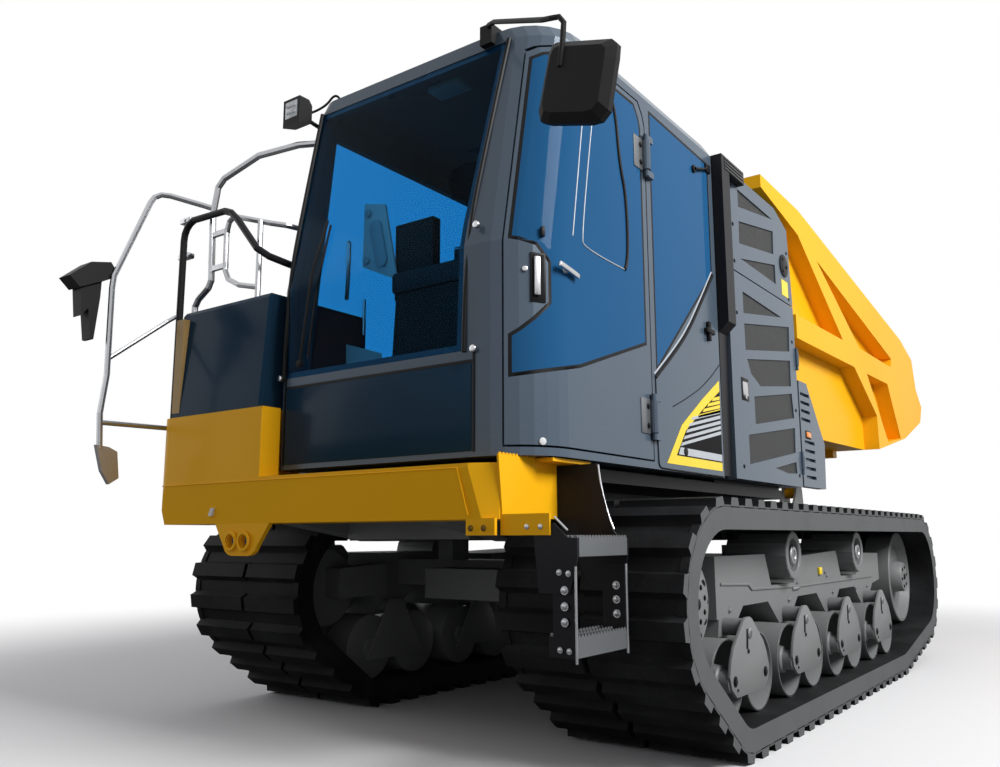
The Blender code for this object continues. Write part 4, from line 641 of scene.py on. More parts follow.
def bordered_pane(node, paint, body):
    """Copy a solid pane, and inset its outer skin so that a black border runs round it."""
    bm = bmesh.new()
    bm.from_mesh(nodes[node].data)
    bmesh.ops.remove_doubles(bm, verts=bm.verts, dist=1e-5)
    cab_low, cab_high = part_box("cab_shell")
    heart = (Vector(cab_low) + Vector(cab_high)) / 2
    outward = [face for face in bm.faces if face.normal.dot(face.calc_center_median() - heart) > 0.2]
    seed = max(outward, key=lambda face: face.calc_area())
    outside, fresh = {seed}, [seed]
    while fresh:
        for edge in fresh.pop().edges:
            for face in edge.link_faces:
                if face not in outside and edge.calc_face_angle(3.0) < 0.5:
                    outside.add(face)
                    fresh.append(face)
    bmesh.ops.inset_region(bm, faces=list(outside), thickness=PRINT_WIDTH, depth=0.0, use_boundary=True,
                           use_even_offset=True)
    for face in bm.faces:
        face.material_index = 0 if face in outside else 1
    pane = to_object(bm, node + "_pane", [paint, seal], PANE_EDGE)
    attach(pane, body)
    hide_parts(node)
    return pane


side_pane = bordered_pane("door_glass", side_glass, "cab_door")
corner_pane = bordered_pane("quarter_glass", side_glass, "machine")
print(side_pane.name, corner_pane.name, "bordered")
for node, glass in (("windshield", front_glass), ("rear_glass", back_glass), ("right_glass", back_glass)):
    nodes[node].data.materials[0] = glass

# %% [markdown]
# The door's handle sits in a pocket on the rounded front corner, so its parts are made flat and
# then turned round the corner's axis. The corner is a quarter circle in plan, and an angle of 0
# faces straight to the side.

# %% Door handle and lock
SKIN_X = 1.003              # the cab's flat side
CORNER = (0.763, -2.03)     # middle of the rounded corner


def skin(low, high):
    """Return two places along X, measured from the cab's flat side."""
    return SKIN_X + low, SKIN_X + high


def on_corner(shape, angle, name, paint):
    """Turn a form from the flat side round the corner, in degrees, and put it on the door."""
    bmesh.ops.rotate(shape.bm, verts=shape.bm.verts, cent=(*CORNER, 0.0),
                     matrix=Matrix.Rotation(math.radians(angle), 3, "Z"))
    shape.done(name, paint, "cab_door")


HANDLE_TURN = -34.0
y0 = CORNER[1]
on_corner(Shape().block(skin(-0.002, 0.003), (y0 - 0.031, y0 + 0.031), (1.712, 1.902), 0.002),
          HANDLE_TURN, "handle_pocket", seal)
# The well inside the handle pocket is painted black: painted shade in the recess.
on_corner(Shape().block(skin(0, 0.0042), (y0 - 0.024, y0 + 0.024), (1.72, 1.894), 0.001),
          HANDLE_TURN, "handle_well_shade", shade_and_print_black)
on_corner(Shape().block(skin(0.004, 0.016), (y0 - 0.019, y0 + 0.006), (1.735, 1.885), 0.005),
          HANDLE_TURN, "handle_grip", plated)
on_corner(Shape().disc("X", skin(-0.002, 0.006), (0, y0, 1.836), 0.011, 20, bevel=0.002),
          -46.0, "door_lock", plated)
on_corner(Shape().block(skin(-0.002, 0.012), (y0 - 0.008, y0 + 0.008), (1.966, 2.005), 0.003),
          -29.5, "glass_stop", seal)
on_corner(Shape().disc("X", skin(-0.002, 0.004), (0, y0, 1.198), 0.014, 20, bevel=0.002),
          -31.0, "white_button", white)
knob = Shape()
knob.disc("X", skin(0, 0.014), (0, -2.04, 1.858), 0.018, 20, 0.012, bevel=0.002)
knob.block(skin(0.010, 0.024), (-2.105, -1.965), (1.845, 1.868), 0.006,
           Matrix.Rotation(math.radians(-8), 4, "X"))
knob.done("window_knob", plated, "cab_door")
print("handle, lock and knob on the door")

# %% [markdown]
# The door's window has a sliding pane in it. From outside it shows as a thin bright frame, with
# a black run where it slides. A closed bar that follows its outline gives the frame.

# %% Sliding pane, hinge leaves and hooks
SLIDE = [(-1.81, 2.565), (-1.917, 2.029), (-1.891, 1.981), (-1.56, 1.981), (-1.526, 2.019),
         (-1.531, 2.316), (-1.584, 2.449), (-1.612, 2.70)]
HINGE_HEIGHTS = ((2.492, 2.645), (1.293, 1.447))
slide_x = SKIN_X + 0.001
frame_line = Shape()
frame_line.bar([(slide_x, y, z) for y, z in SLIDE[:4]], 0.0028, 8)
frame_line.bar([(slide_x, -1.878, 2.60), (slide_x, -1.981, 2.011)], 0.0028, 8)
frame_line.done("sliding_frame", silver, "cab_door")
run = Shape()
run.bar([(slide_x, y, z) for y, z in SLIDE[3:]] + [(slide_x, -1.66, 2.74)], 0.009, 8)
run.done("sliding_run", seal, "cab_door")

leaves = Shape()
for low, high in HINGE_HEIGHTS:
    leaves.block(skin(-0.001, 0.005), (-1.445, -1.36), (low, high), 0.003)
leaves.done("hinge_leaves", leaf_grey, "cab_door")
screws = Shape()
for low, high in HINGE_HEIGHTS:
    screws.bolts("X", SKIN_X + 0.005, [(-1.385, low + 0.035), (-1.385, high - 0.035)], 0.009, 0.005)
screws.done("hinge_screws", seal, "cab_door")

hook = Shape()
hook.disc("X", skin(0, 0.012), (0, -0.79, 2.705), 0.020, 16, bevel=0.003)
hook.bar([(SKIN_X + 0.014, -0.79, 2.705), (SKIN_X + 0.016, -0.70, 2.73),
          (SKIN_X + 0.010, -0.62, 2.765)], 0.007)
hook.block(skin(0, 0.012), (-0.64, -0.585), (2.745, 2.79), 0.004)
hook.block(skin(0, 0.018), (-0.705, -0.675), (1.825, 1.925), 0.006)
hook.block(skin(0, 0.022), (-0.735, -0.635), (1.862, 1.888), 0.006)
hook.done("window_hook", seal)
print("door trim done")

# %% [markdown]
# The panel behind the door is a separate sheet with a rubber seam round it, a curved crease
# pressed into it and a film of stripes in its lower rear corner. A thin silver line beside the
# seam is a painted highlight, and a black line along the crease is painted shade. The film is a
# yellow field with slanted bars cut by its own outline. Every bar is one thin plate.

# %% Rear side panel and its stripes
QUARTER_SEAM = [(-1.297, 1.552), (-1.15, 1.655), (-0.96, 1.80), (-0.80, 1.965), (-0.598, 2.19)]
LOW_SEAM = [(-1.297, 1.556), (-1.293, 1.20), (-1.285, 1.158), (-1.24, 1.152), (-0.566, 1.152)]
CREASE = [(-1.126, 1.442), (-0.887, 1.528), (-0.658, 1.649), (-0.553, 1.727)]
STRIPE_SLOPE = 0.20         # how steeply the stripes rise towards the rear
STRIPE_END = -0.576         # Y where the stripes end, by the panel's rear edge
seams = Shape()
seams.bar([(SKIN_X, y, z) for y, z in QUARTER_SEAM], 0.009, 8)
seams.bar([(SKIN_X, y, z) for y, z in LOW_SEAM], 0.0045, 8)
# The crease is a thin black line: painted shade in the crease.
seams.bar([(SKIN_X, y, z) for y, z in CREASE], 0.0028, 8)
seams.done("panel_seams_and_crease_shade", seal)
# A silver line just beside the seam: a painted highlight on the panel's edge.
Shape().bar([(SKIN_X, y - 0.012, z + 0.014) for y, z in QUARTER_SEAM], 0.004, 8).done("seam_painted_highlight", silver)

FIELD = [(-0.572, 1.640), (-0.79, 1.518), (-1.035, 1.368), (-1.205, 1.180), (-0.572, 1.180)]
Shape().plate(FIELD, "X", *skin(0, 0.0012)).done("stripe_field", bright_yellow)
inner_field = Shape()
inner_field.plate([(-0.572, 1.585), (-0.80, 1.462), (-0.995, 1.345), (-1.105, 1.222), (-0.572, 1.222)], "X",
                  SKIN_X, SKIN_X + 0.0018)
inner_field.done("stripe_ground", shade_and_print_black)


def slanted(count, first, pitch, width, left, lean):
    """Add slanted bars one above another, from the field's leaning edge to its rear edge."""
    bars = Shape()
    for i in range(count):
        z = first + i * pitch
        start = left + i * pitch * lean
        rise = (STRIPE_END - start) * STRIPE_SLOPE
        bars.plate([(start, z), (STRIPE_END, z + rise), (STRIPE_END, z + rise + width),
                    (start + width, z + width)], "X", *skin(0.0005, 0.0026))
    return bars


slanted(5, 1.268, 0.033, 0.017, -1.06, 0.95).done("silver_stripes", silver)
slanted(4, 1.420, 0.034, 0.018, -0.855, 1.75).done("yellow_stripes", bright_yellow)
foot = Shape()
foot.plate([(-1.085, 1.228), (STRIPE_END, 1.228), (STRIPE_END, 1.262), (-1.062, 1.262)], "X",
           SKIN_X, SKIN_X + 0.0026)
foot.done("silver_foot", silver)
Shape().disc("X", skin(0, 0.006), (0, -1.008, 1.245), 0.021, 20, bevel=0.002).done("panel_plug", seal)
print("stripes on the rear panel")

# %% [markdown]
# The front panel under the windshield is a separate glossy sheet with a bright knob at each
# upper corner. Its dark blue is painted shade of the front faces, with the sky's blue painted in.
# A wiper rests on the glass, and black trim runs up both pillars.

# %% Cab front
FRONT_Y = -2.27
panel = Shape()
panel.plate([(-0.285, 1.168), (0.735, 1.168), (0.735, 1.496), (-0.285, 1.496)], "Y",
            FRONT_Y - 0.005, FRONT_Y, 0.002)
panel.done("front_panel", front_shade_grey)
trim = Shape()
for x in (-0.296, 0.746):
    trim.block((x - 0.004, x + 0.004), (FRONT_Y - 0.004, FRONT_Y + 0.001), (1.165, 1.545))
trim.block((-0.296, 0.746), (FRONT_Y - 0.003, FRONT_Y + 0.001), (1.497, 1.508))
trim.bar([(-0.305, FRONT_Y - 0.004, 1.54), (-0.305, FRONT_Y - 0.004, 1.94), (-0.308, -2.185, 2.42),
          (-0.31, -2.098, 2.86)], 0.010, 8)
trim.bar([(0.70, FRONT_Y - 0.003, 1.54), (0.705, FRONT_Y - 0.003, 1.94), (0.745, -2.182, 2.42),
          (0.79, -2.098, 2.86)], 0.010, 8)
trim.done("pillar_trim", seal)
knobs = Shape()
for x, z in ((0.752, 1.545), (-0.322, 1.548), (0.765, 2.02)):
    knobs.disc("Y", (FRONT_Y - 0.020, FRONT_Y), (x, 0, z), 0.014, 18, bevel=0.003)
knobs.done("front_knobs", plated)
wiper = Shape()
wiper.bar([(-0.20, FRONT_Y - 0.012, 1.60), (-0.16, FRONT_Y - 0.020, 1.80), (-0.135, FRONT_Y - 0.018, 2.00),
           (-0.112, -2.262, 2.12), (-0.10, -2.236, 2.24)], 0.0065, 8)
wiper.bar([(-0.150, FRONT_Y - 0.010, 1.62), (-0.125, FRONT_Y - 0.010, 1.90), (-0.09, -2.226, 2.22)],
          0.005, 8)
wiper.disc("Y", (FRONT_Y - 0.022, FRONT_Y), (-0.20, 0, 1.60), 0.016, 16, bevel=0.003)
wiper.done("wiper", plastic)
print("cab front done")

# %% [markdown]
# Through the windshield a few things stand out: a pale lamp bracket, a white sheet on the
# floor, grab bars, a lamp in the roof lining and the seat. The seat is foam under cloth, so its
# cushion, back and head rest are crowned forms: a block is subdivided, pushed out in its middle,
# pulled in towards its edges, pressed in along two sewn channels and smoothed.

# %% Inside the cab
OVAL_RADIUS = 0.036         # round ends of the oval lamp on the bracket
bracket = Shape()
bracket.plate([(-0.105, 2.391), (0.028, 2.36), (0.11, 1.987), (-0.109, 2.087)], "Y", -2.01, -1.995, 0.006)
bracket.done("lamp_bracket", white)
oval = Shape()
axis_top, axis_low = Vector((-0.022, 2.255)), Vector((0.018, 2.095))
tilt = math.atan2(axis_top.y - axis_low.y, axis_top.x - axis_low.x)
oval_rim = [(end.x + OVAL_RADIUS * math.cos(tilt + math.radians(d)),
             end.y + OVAL_RADIUS * math.sin(tilt + math.radians(d)))
            for end, first in ((axis_top, -90), (axis_low, 90)) for d in range(first, first + 181, 18)]
oval.plate(oval_rim, "Y", -2.022, -2.008, 0.004)
for x, z in ((-0.073, 2.335), (-0.078, 2.110)):
    oval.disc("Y", (-2.020, -2.005), (x, 0, z), 0.020, 18, bevel=0.003)
oval.done("bracket_lamp", silver)
papers = Shape()
papers.plate([(-0.309, 1.768), (-0.079, 1.696), (-0.078, 1.640), (-0.305, 1.645)], "Y", -1.905, -1.90)
papers.done("white_sheet", white)
Shape().block((0.25, 0.43), (-1.98, -1.88), (2.845, 2.872), 0.006).done("roof_lamp", white)
grabs = Shape()
grabs.bar([(-0.27, -1.95, 2.15), (-0.24, -1.97, 2.30), (-0.24, -1.97, 2.10), (-0.29, -1.93, 1.98)], 0.012)
grabs.bar([(-0.20, -1.90, 1.97), (-0.20, -1.90, 1.80)], 0.008)
grabs.done("grab_bars", plated)
levers = Shape()
for x, y, height in ((-0.06, -1.55, 0.20), (-0.06, -1.42, 0.17), (0.62, -1.45, 0.22)):
    root = 1.745 if x < 0 else 1.62
    tip = root + height
    levers.disc("Z", (root, root + 0.05), (x, y, 0), 0.035, 16, 0.018)
    levers.bar([(x, y, root + 0.04), (x, y - 0.01, root + height * 0.7), (x, y - 0.03, tip)], 0.010)
    levers.disc("Z", (tip - 0.02, tip + 0.06), (x, y - 0.03, 0), 0.022, 16, 0.026, 0.006)
levers.block((0.52, 0.72), (-1.62, -1.05), (1.50, 1.63), 0.02)
levers.block((0.585, 0.665), (-1.40, -1.20), (1.20, 1.52), 0.01)
levers.done("levers", interior)
dash = Shape()
dash.block((0.08, 0.60), (-2.02, -1.86), (1.92, 2.02), 0.02)
dash.block((0.14, 0.30), (-1.975, -1.945), (2.02, 2.16), 0.01)
dash.block((0.40, 0.52), (-1.97, -1.93), (2.00, 2.09), 0.008)
dash.bar([(0.33, -1.80, 1.86), (0.33, -1.86, 1.95), (0.33, -1.90, 2.00)], 0.018)
dash.turned([(-0.010, 0.165), (0.0, 0.175), (0.010, 0.165), (0.0, 0.152), (-0.010, 0.165)],
            (0.33, -1.80, 2.02), "Z", 36)
dash.done("dash", interior)


def padded_block(x, y, z, name, crown, lean=0.0):
    """Make one foam cushion: a rounded block whose middle is pushed out."""
    bm = bmesh.new()
    sizes = [high - low for low, high in (x, y, z)]
    middle = Vector([(low + high) / 2 for low, high in (x, y, z)])
    bmesh.ops.create_cube(bm, size=1.0)
    bmesh.ops.subdivide_edges(bm, edges=bm.edges, cuts=9, use_grid_fill=True)
    axis = sizes.index(min(sizes))
    for vert in bm.verts:
        u, v = (vert.co[i] * 2 for i in range(3) if i != axis)
        fall = (1 - u * u) * (1 - v * v)
        edge = max(abs(u), abs(v))
        pull = 1.0 - 0.30 * max(0.0, edge - 0.75) / 0.25
        channel = 0.12 * max(0.0, 1 - abs(abs(u) - 0.55) / 0.08)
        vert.co[axis] *= pull * (1.0 + crown * fall) * (1.0 - channel)
    bmesh.ops.scale(bm, verts=bm.verts, vec=sizes)
    bmesh.ops.rotate(bm, verts=bm.verts, cent=(0, 0, 0), matrix=Matrix.Rotation(lean, 3, "X"))
    bmesh.ops.translate(bm, verts=bm.verts, vec=middle + Vector((0, middle_y, 0)))
    bmesh.ops.smooth_vert(bm, verts=bm.verts, factor=0.5, use_axis_x=True, use_axis_y=True,
                          use_axis_z=True)
    pad = to_object(bm, name, [cloth])
    pad.data.shade_smooth()
    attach(pad, "machine")


seat_low, seat_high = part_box("seat")
middle_x = (seat_low[0] + seat_high[0]) / 2
seat_front, seat_rear = seat_low[1] - middle_y, seat_high[1] - middle_y
padded_block((seat_low[0], seat_high[0]), (seat_front, seat_front + 0.48),
             (seat_low[2] + 0.29, seat_low[2] + 0.42), "seat_cushion", 0.12)
padded_block((seat_low[0] + 0.02, seat_high[0] - 0.02), (seat_rear - 0.20, seat_rear - 0.06),
             (seat_low[2] + 0.42, seat_high[2] - 0.20), "seat_back", 0.12, math.radians(-9))
padded_block((middle_x - 0.14, middle_x + 0.14), (seat_rear - 0.12, seat_rear - 0.01),
             (seat_high[2] - 0.22, seat_high[2]), "head_rest", 0.10, math.radians(-6))
stand = Shape()
stand.block((middle_x - 0.16, middle_x + 0.16), (seat_front + 0.08, seat_front + 0.44),
            (seat_low[2], seat_low[2] + 0.29), 0.015)
stand.block((middle_x - 0.05, middle_x + 0.05), (seat_rear - 0.20, seat_rear - 0.14),
            (seat_low[2] + 0.25, seat_low[2] + 0.50), 0.01)
stand.done("seat_base", interior, stands_for=["seat"])
print("seat at", round(middle_x, 3))

# %% [markdown]
# The engine cover's windows are pockets in the solid, and wire mesh lies in them. The wires run
# both ways across the whole cover at a slant, on a black sheet of painted shade that stands for
# the dark engine bay: they show in the windows, and elsewhere the cover hides them. Each wire is
# clipped to the cover's rectangle.

# %% Engine cover: mesh, latch and stickers
COVER_X = 1.02
WIRE_PITCH, WIRE_WIDTH, WIRE_SLOPE = 0.021, 0.0065, 0.62


def wire_mesh(name, body, y, z):
    """Lay slanted wires both ways over a rectangle, on a black sheet of painted shade."""
    wires = Shape()
    reach = (z[1] - z[0]) / WIRE_SLOPE
    for way in (1, -1):
        start = y[0] - (reach if way > 0 else 0)
        stop = y[1] + (0 if way > 0 else reach)
        for i in range(round((stop - start) / WIRE_PITCH)):
            foot = start + i * WIRE_PITCH
            ends = sorted((max(y[0], min(y[1], foot)), max(y[0], min(y[1], foot + way * reach))))
            if ends[1] - ends[0] < 0.01:
                continue
            heights = [z[0] + (end - foot) * way * WIRE_SLOPE for end in ends]
            wires.plate([(ends[0], heights[0]), (ends[1], heights[1]), (ends[1], heights[1] + WIRE_WIDTH),
                         (ends[0], heights[0] + WIRE_WIDTH)], "X", COVER_X - 0.009,
                        COVER_X - 0.0075 - way * 0.0005)
    wires.done(f"mesh_{name}", mesh_grey, body)
    # The black sheet behind the wires is painted shade of the dark engine bay.
    ground = Shape()
    ground.block((COVER_X - 0.0099, COVER_X - 0.0088), y, z)
    ground.done(f"mesh_painted_shade_{name}", shade_and_print_black, body)


wire_mesh("upper", "machine", (-0.24, 0.37), (2.35, 2.785))
wire_mesh("lower", "lower_cover", (-0.235, 0.565), (1.21, 2.195))

latch = Shape()
latch.block((COVER_X - 0.004, COVER_X + 0.003), (-0.302, -0.199), (1.575, 1.700), 0.004)
latch.done("latch_frame", seal, "lower_cover")
paddle = Shape()
paddle.block((COVER_X, COVER_X + 0.006), (-0.288, -0.213), (1.600, 1.678), 0.004)
paddle.disc("X", (COVER_X, COVER_X + 0.008), (0, -0.250, 1.592), 0.010, 16, bevel=0.002)
paddle.done("latch_paddle", plated, "lower_cover")
cap = Shape()
cap.disc("X", (COVER_X - 0.002, COVER_X + 0.007), (0, 0.515, 2.52), 0.072, 32, bevel=0.004)
cap.bolts("X", COVER_X + 0.006, around((0.515, 2.52), 0.045, 3), 0.010, 0.005)
cap.done("round_cap", seal)
note = Shape()
note.block((COVER_X - 0.001, COVER_X + 0.0015), (0.46, 0.575), (2.325, 2.425))
note.done("blank_sticker", bright_yellow)
rivets = Shape()
rivets.bolts("X", COVER_X, [(-0.315, z) for z in (2.34, 2.55, 2.77)] + [(0.585, 2.32), (0.585, 2.62)],
             0.008, 0.004)
rivets.done("cover_bolts", seal)
low_rivets = Shape()
low_rivets.bolts("X", COVER_X, [(-0.315, z) for z in (1.22, 2.05)]
                 + [(0.60, z) for z in (1.22, 1.62, 2.05)], 0.008, 0.004)
low_rivets.done("lower_cover_bolts", seal, "lower_cover")
louvre_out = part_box("louvre_cover")[1][0]
marker = Shape()
marker.block((louvre_out - 0.002, louvre_out + 0.008), (0.775, 0.862), (1.470, 1.506), 0.004)
marker.done("side_marker", orange)
seat_of_marker = Shape()
seat_of_marker.block((louvre_out - 0.002, louvre_out + 0.003), (0.765, 0.872), (1.462, 1.514), 0.003)
seat_of_marker.done("marker_seat", seal)
print("engine cover dressed")

# %% [markdown]
# The air duct between cab and engine cover draws air in at its top, between thin slats.

# %% Air duct slats
SLAT_FOOT_Z, SLAT_PITCH = 2.795, 0.019
duct_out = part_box("air_duct")[1][0]
slats = Shape()
for i in range(4):
    z = SLAT_FOOT_Z + i * SLAT_PITCH
    slats.block((duct_out - 0.004, duct_out + 0.004), (-0.50, -0.24), (z, z + 0.009), 0.002)
slats.done("duct_slats", mesh_grey)
print("duct slats added")

# %% [markdown]
# The solids show the rollers with few sides, which is enough for collisions. Here they are
# turned smoothly: open drums with a thin lip, on a tube. Two drums and a shield-shaped plate
# make a bogie, and the shield carries the axles' bolts and a keeper for the cross pin.

# %% Road rollers and bogies
DRUM_OUT, DRUM_DEPTH, LIP = 1.283, 0.110, 0.007
DRUM_RADIUS, TUBE_RADIUS = 0.165, 0.075
ROLLER_Z, ROLLER_SPREAD = 0.2895, 0.1755
SHIELD_X, SHIELD_THICKNESS, SHIELD_PEAK = 1.300, 0.014, 0.525
PIN_Z = 0.485
inner = DRUM_RADIUS - LIP
ROLLER = [
    (0.672, 0.0), (0.672, 0.048), (0.688, 0.052), (0.688, inner), (0.692, DRUM_RADIUS),
    (0.855, DRUM_RADIUS),
    (0.860, inner), (0.860, TUBE_RADIUS), (1.113, TUBE_RADIUS), (1.113, inner), (1.118, DRUM_RADIUS),
    (1.281, DRUM_RADIUS), (1.283, DRUM_RADIUS - 0.002), (1.283, inner), (1.281, inner - 0.001),
    (DRUM_OUT - DRUM_DEPTH, inner - 0.012), (DRUM_OUT - DRUM_DEPTH, 0.068), (1.255, 0.060), (1.262, 0.052),
    (1.262, 0.045), (1.304, 0.045), (1.304, 0.0),
]


def shield_outline(y):
    """Draw a bogie's outer plate: a rounded foot, wide at the axles and pointed at the top."""
    reach = ROLLER_SPREAD
    right = [(reach - 0.02, 0.2245), (reach + 0.030, 0.262), (reach + 0.045, 0.310), (reach + 0.022, 0.372),
             (reach - 0.010, 0.420), (0.045, 0.518), (0.022, 0.527)]
    return [(y + a, b) for a, b in right] + [(y - a, b) for a, b in reversed(right)]


def dress_bogie(node, y, mirrored):
    """Model one bogie smoothly in place of its solid."""
    shape = Shape()
    for spot in (y - ROLLER_SPREAD, y + ROLLER_SPREAD):
        shape.turned(ROLLER, (0, spot, ROLLER_Z), "X", 44)
    shape.plate(shield_outline(y), "X", SHIELD_X, SHIELD_X + SHIELD_THICKNESS, 0.002)
    rocker = [(y - 0.225, 0.2245), (y + 0.225, 0.2245), (y + 0.05, SHIELD_PEAK), (y - 0.05, SHIELD_PEAK)]
    shape.plate(rocker, "X", 0.666, 0.680, 0.002)
    shape.disc("X", (0.670, SHIELD_X + 0.004), (0, y, PIN_Z), 0.036, 28)
    shape.done(node + "_turned", dark_grey, stands_for=[node], mirror=mirrored)
    trim = Shape()
    face = SHIELD_X + SHIELD_THICKNESS
    trim.bolts("X", face, [(y - ROLLER_SPREAD + 0.005, ROLLER_Z), (y + ROLLER_SPREAD - 0.005, ROLLER_Z)],
               0.015, 0.006)
    trim.bolts("X", face, [(y - ROLLER_SPREAD + 0.025, ROLLER_Z - 0.035)], 0.006, 0.004, False)
    trim.block((face, face + 0.004), (y - 0.032, y - 0.018), (0.402, 0.482), 0.002,
               Matrix.Rotation(math.radians(-7), 4, "X"))
    trim.disc("X", (face - 0.001, face + 0.004), (0, y - 0.018, 0.392), 0.009, 16)
    trim.done(node + "_trim", seal, mirror=mirrored)
    # A bright steel ring on each drum's lip edge is a painted highlight of the sunlit edge.
    lip_highlights = Shape()
    for spot in (y - ROLLER_SPREAD, y + ROLLER_SPREAD):
        lip_highlights.turned([(DRUM_OUT - 0.001, inner), (DRUM_OUT + 0.001, inner),
                     (DRUM_OUT + 0.001, DRUM_RADIUS - 0.001), (DRUM_OUT - 0.001, DRUM_RADIUS - 0.001),
                     (DRUM_OUT - 0.001, inner)], (0, spot, ROLLER_Z), "X", 44)
    lip_highlights.done(node + "_lips", steel_and_highlight, mirror=mirrored)
    pin_end = Shape()
    pin_end.disc("X", (face - 0.002, face + 0.005), (0, y + 0.006, 0.462), 0.022, 24, bevel=0.003)
    pin_end.done(node + "_pin_end", steel_and_highlight, mirror=mirrored)


for side_name, mirrored in SIDES:
    for number in range(1, 5):
        name = f"bogie_{side_name}_{number}"
        low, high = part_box(name)
        dress_bogie(name, (low[1] + high[1]) / 2 - middle_y, mirrored)
print("8 bogies dressed")

# %% [markdown]
# The drive wheel at the front is a drum between two toothed rings, with the final drive's
# bolted cover in its middle. The idler at the rear is a plain dished wheel.

# %% Drive wheels, idlers and top rollers
DRIVE = (-1.525, 0.60)
IDLER = (2.10, 0.57)
RING_RADIUS, TEETH = 0.2833, 12
# One tooth: the share of the pitch, and how far under the tips
TOOTH = ((0.02, 0.030), (0.16, 0.006), (0.30, 0.0), (0.62, 0.0), (0.76, 0.006), (0.90, 0.030))
DRIVE_PROFILE = [(0.812, 0.0), (0.812, 0.196), (0.816, 0.20), (1.209, 0.20), (1.215, 0.196), (1.233, 0.172),
                 (1.233, 0.118), (1.240, 0.104), (1.262, 0.094), (1.263, 0.088), (1.263, 0.0)]
IDLER_PROFILE = [(0.802, 0.0), (0.802, 0.07), (0.850, 0.07), (0.850, 0.308), (0.856, 0.3133),
                 (0.924, 0.3133), (0.930, 0.308), (0.930, 0.2633), (1.050, 0.2633), (1.050, 0.308),
                 (1.056, 0.3133), (1.218, 0.3133), (1.223, 0.309), (1.223, 0.295), (1.195, 0.280),
                 (1.163, 0.2633), (1.163, 0.16), (1.180, 0.112), (1.245, 0.100), (1.253, 0.093),
                 (1.253, 0.0)]
TOP_ROLLER_TUBE = [(0.968, 0.1168), (1.268, 0.1168), (1.273, 0.113), (1.273, 0.084), (1.269, 0.080),
                   (1.244, 0.079), (1.244, 0.100), (0.968, 0.100), (0.968, 0.1168)]
TOP_ROLLER_HUB = [(1.236, 0.0), (1.236, 0.052), (1.270, 0.047), (1.274, 0.041), (1.274, 0.026),
                  (1.268, 0.022), (1.268, 0.0)]
TOP_ROLLERS_Y, TOP_ROLLERS_Z = (-0.374, 0.817), 0.7655
tooth_ring = []
for i in range(TEETH):
    for share, drop in TOOTH:
        turn = (i + share) * math.tau / TEETH
        tooth_ring.append((DRIVE[0] + (RING_RADIUS - drop) * math.cos(turn),
                           DRIVE[1] + (RING_RADIUS - drop) * math.sin(turn)))
for side_name, mirrored in SIDES:
    drive = Shape()
    drive.turned(DRIVE_PROFILE, (0, *DRIVE), "X", 56)
    for x in (0.90, 1.08):
        drive.plate(tooth_ring, "X", x - 0.02, x + 0.02, 0.003)
    drive.done(f"drive_{side_name}", dark_grey, stands_for=[f"sprocket_{side_name}"], mirror=mirrored)
    studs = Shape()
    studs.bolts("X", 1.232, around(DRIVE, 0.145, 12), 0.011, 0.008)
    studs.bolts("X", 1.262, around(DRIVE, 0.070, 8, 0.3), 0.008, 0.005)
    studs.disc("X", (1.260, 1.268), (0, *DRIVE), 0.022, 20, bevel=0.003)
    studs.done(f"drive_bolts_{side_name}", seal, mirror=mirrored)
    rear = Shape()
    rear.turned(IDLER_PROFILE, (0, *IDLER), "X", 60)
    rear.done(f"rear_wheel_{side_name}", dark_grey, stands_for=[f"idler_{side_name}"], mirror=mirrored)
    cap_bolts = Shape()
    cap_bolts.bolts("X", 1.252, around(IDLER, 0.068, 6, 0.2), 0.009, 0.006)
    cap_bolts.disc("X", (1.250, 1.259), (0, *IDLER), 0.020, 20, bevel=0.003)
    cap_bolts.done(f"idler_bolts_{side_name}", seal, mirror=mirrored)
    covers = Shape()
    hubs = Shape()
    for y in TOP_ROLLERS_Y:
        covers.turned(TOP_ROLLER_TUBE, (0, y, TOP_ROLLERS_Z), "X", 48)
        hubs.turned(TOP_ROLLER_HUB, (0, y, TOP_ROLLERS_Z), "X", 40)
    covers.done(f"top_rollers_{side_name}", dark_grey, mirror=mirrored)
    hubs.done(f"top_hubs_{side_name}", steel_and_highlight, mirror=mirrored)
print("wheels dressed")

# %% [markdown]
# Each track frame is welded from plates. A raised strip along its middle, a few bolts and one
# yellow grease cap break up its long face.

# %% Track frame plates
FRAME_OUT = 1.21
STRIP = [(-1.17, 0.654), (-0.85, 0.640), (-0.81, 0.616), (-0.13, 0.600), (1.36, 0.596), (1.36, 0.606),
         (-0.13, 0.610), (-0.79, 0.628), (-0.83, 0.650), (-1.17, 0.664)]
for side_name, mirrored in SIDES:
    strip = Shape()
    strip.plate(STRIP, "X", FRAME_OUT - 0.002, FRAME_OUT + 0.006, 0.001)
    strip.done(f"frame_strip_{side_name}", dark_grey, mirror=mirrored)
    heads = Shape()
    heads.bolts("X", FRAME_OUT, [(y, 0.545) for y in (-1.08, -0.30, 0.46, 0.95, 1.22)], 0.010, 0.007)
    heads.bolts("X", FRAME_OUT, [(-0.165, 0.655), (-0.165, 0.625), (0.33, 0.660), (0.36, 0.640)],
                0.009, 0.008)
    heads.block((FRAME_OUT - 0.001, FRAME_OUT + 0.008), (-0.24, -0.14), (0.588, 0.602), 0.002)
    heads.done(f"frame_bolts_{side_name}", steel_and_highlight, mirror=mirrored)
    grease = Shape()
    grease.block((FRAME_OUT - 0.001, FRAME_OUT + 0.014), (0.205, 0.250), (0.650, 0.690), 0.005)
    grease.done(f"grease_cap_{side_name}", bright_yellow, mirror=mirrored)
print("track frames dressed")

# %% [markdown]
# The steps must grip a muddy boot, so their edges are cut like a saw. One helper draws that
# edge between two places, and a thin plate is cut to it. Drop bars carry the lower step, and
# rows of bolts let it be set higher or lower.

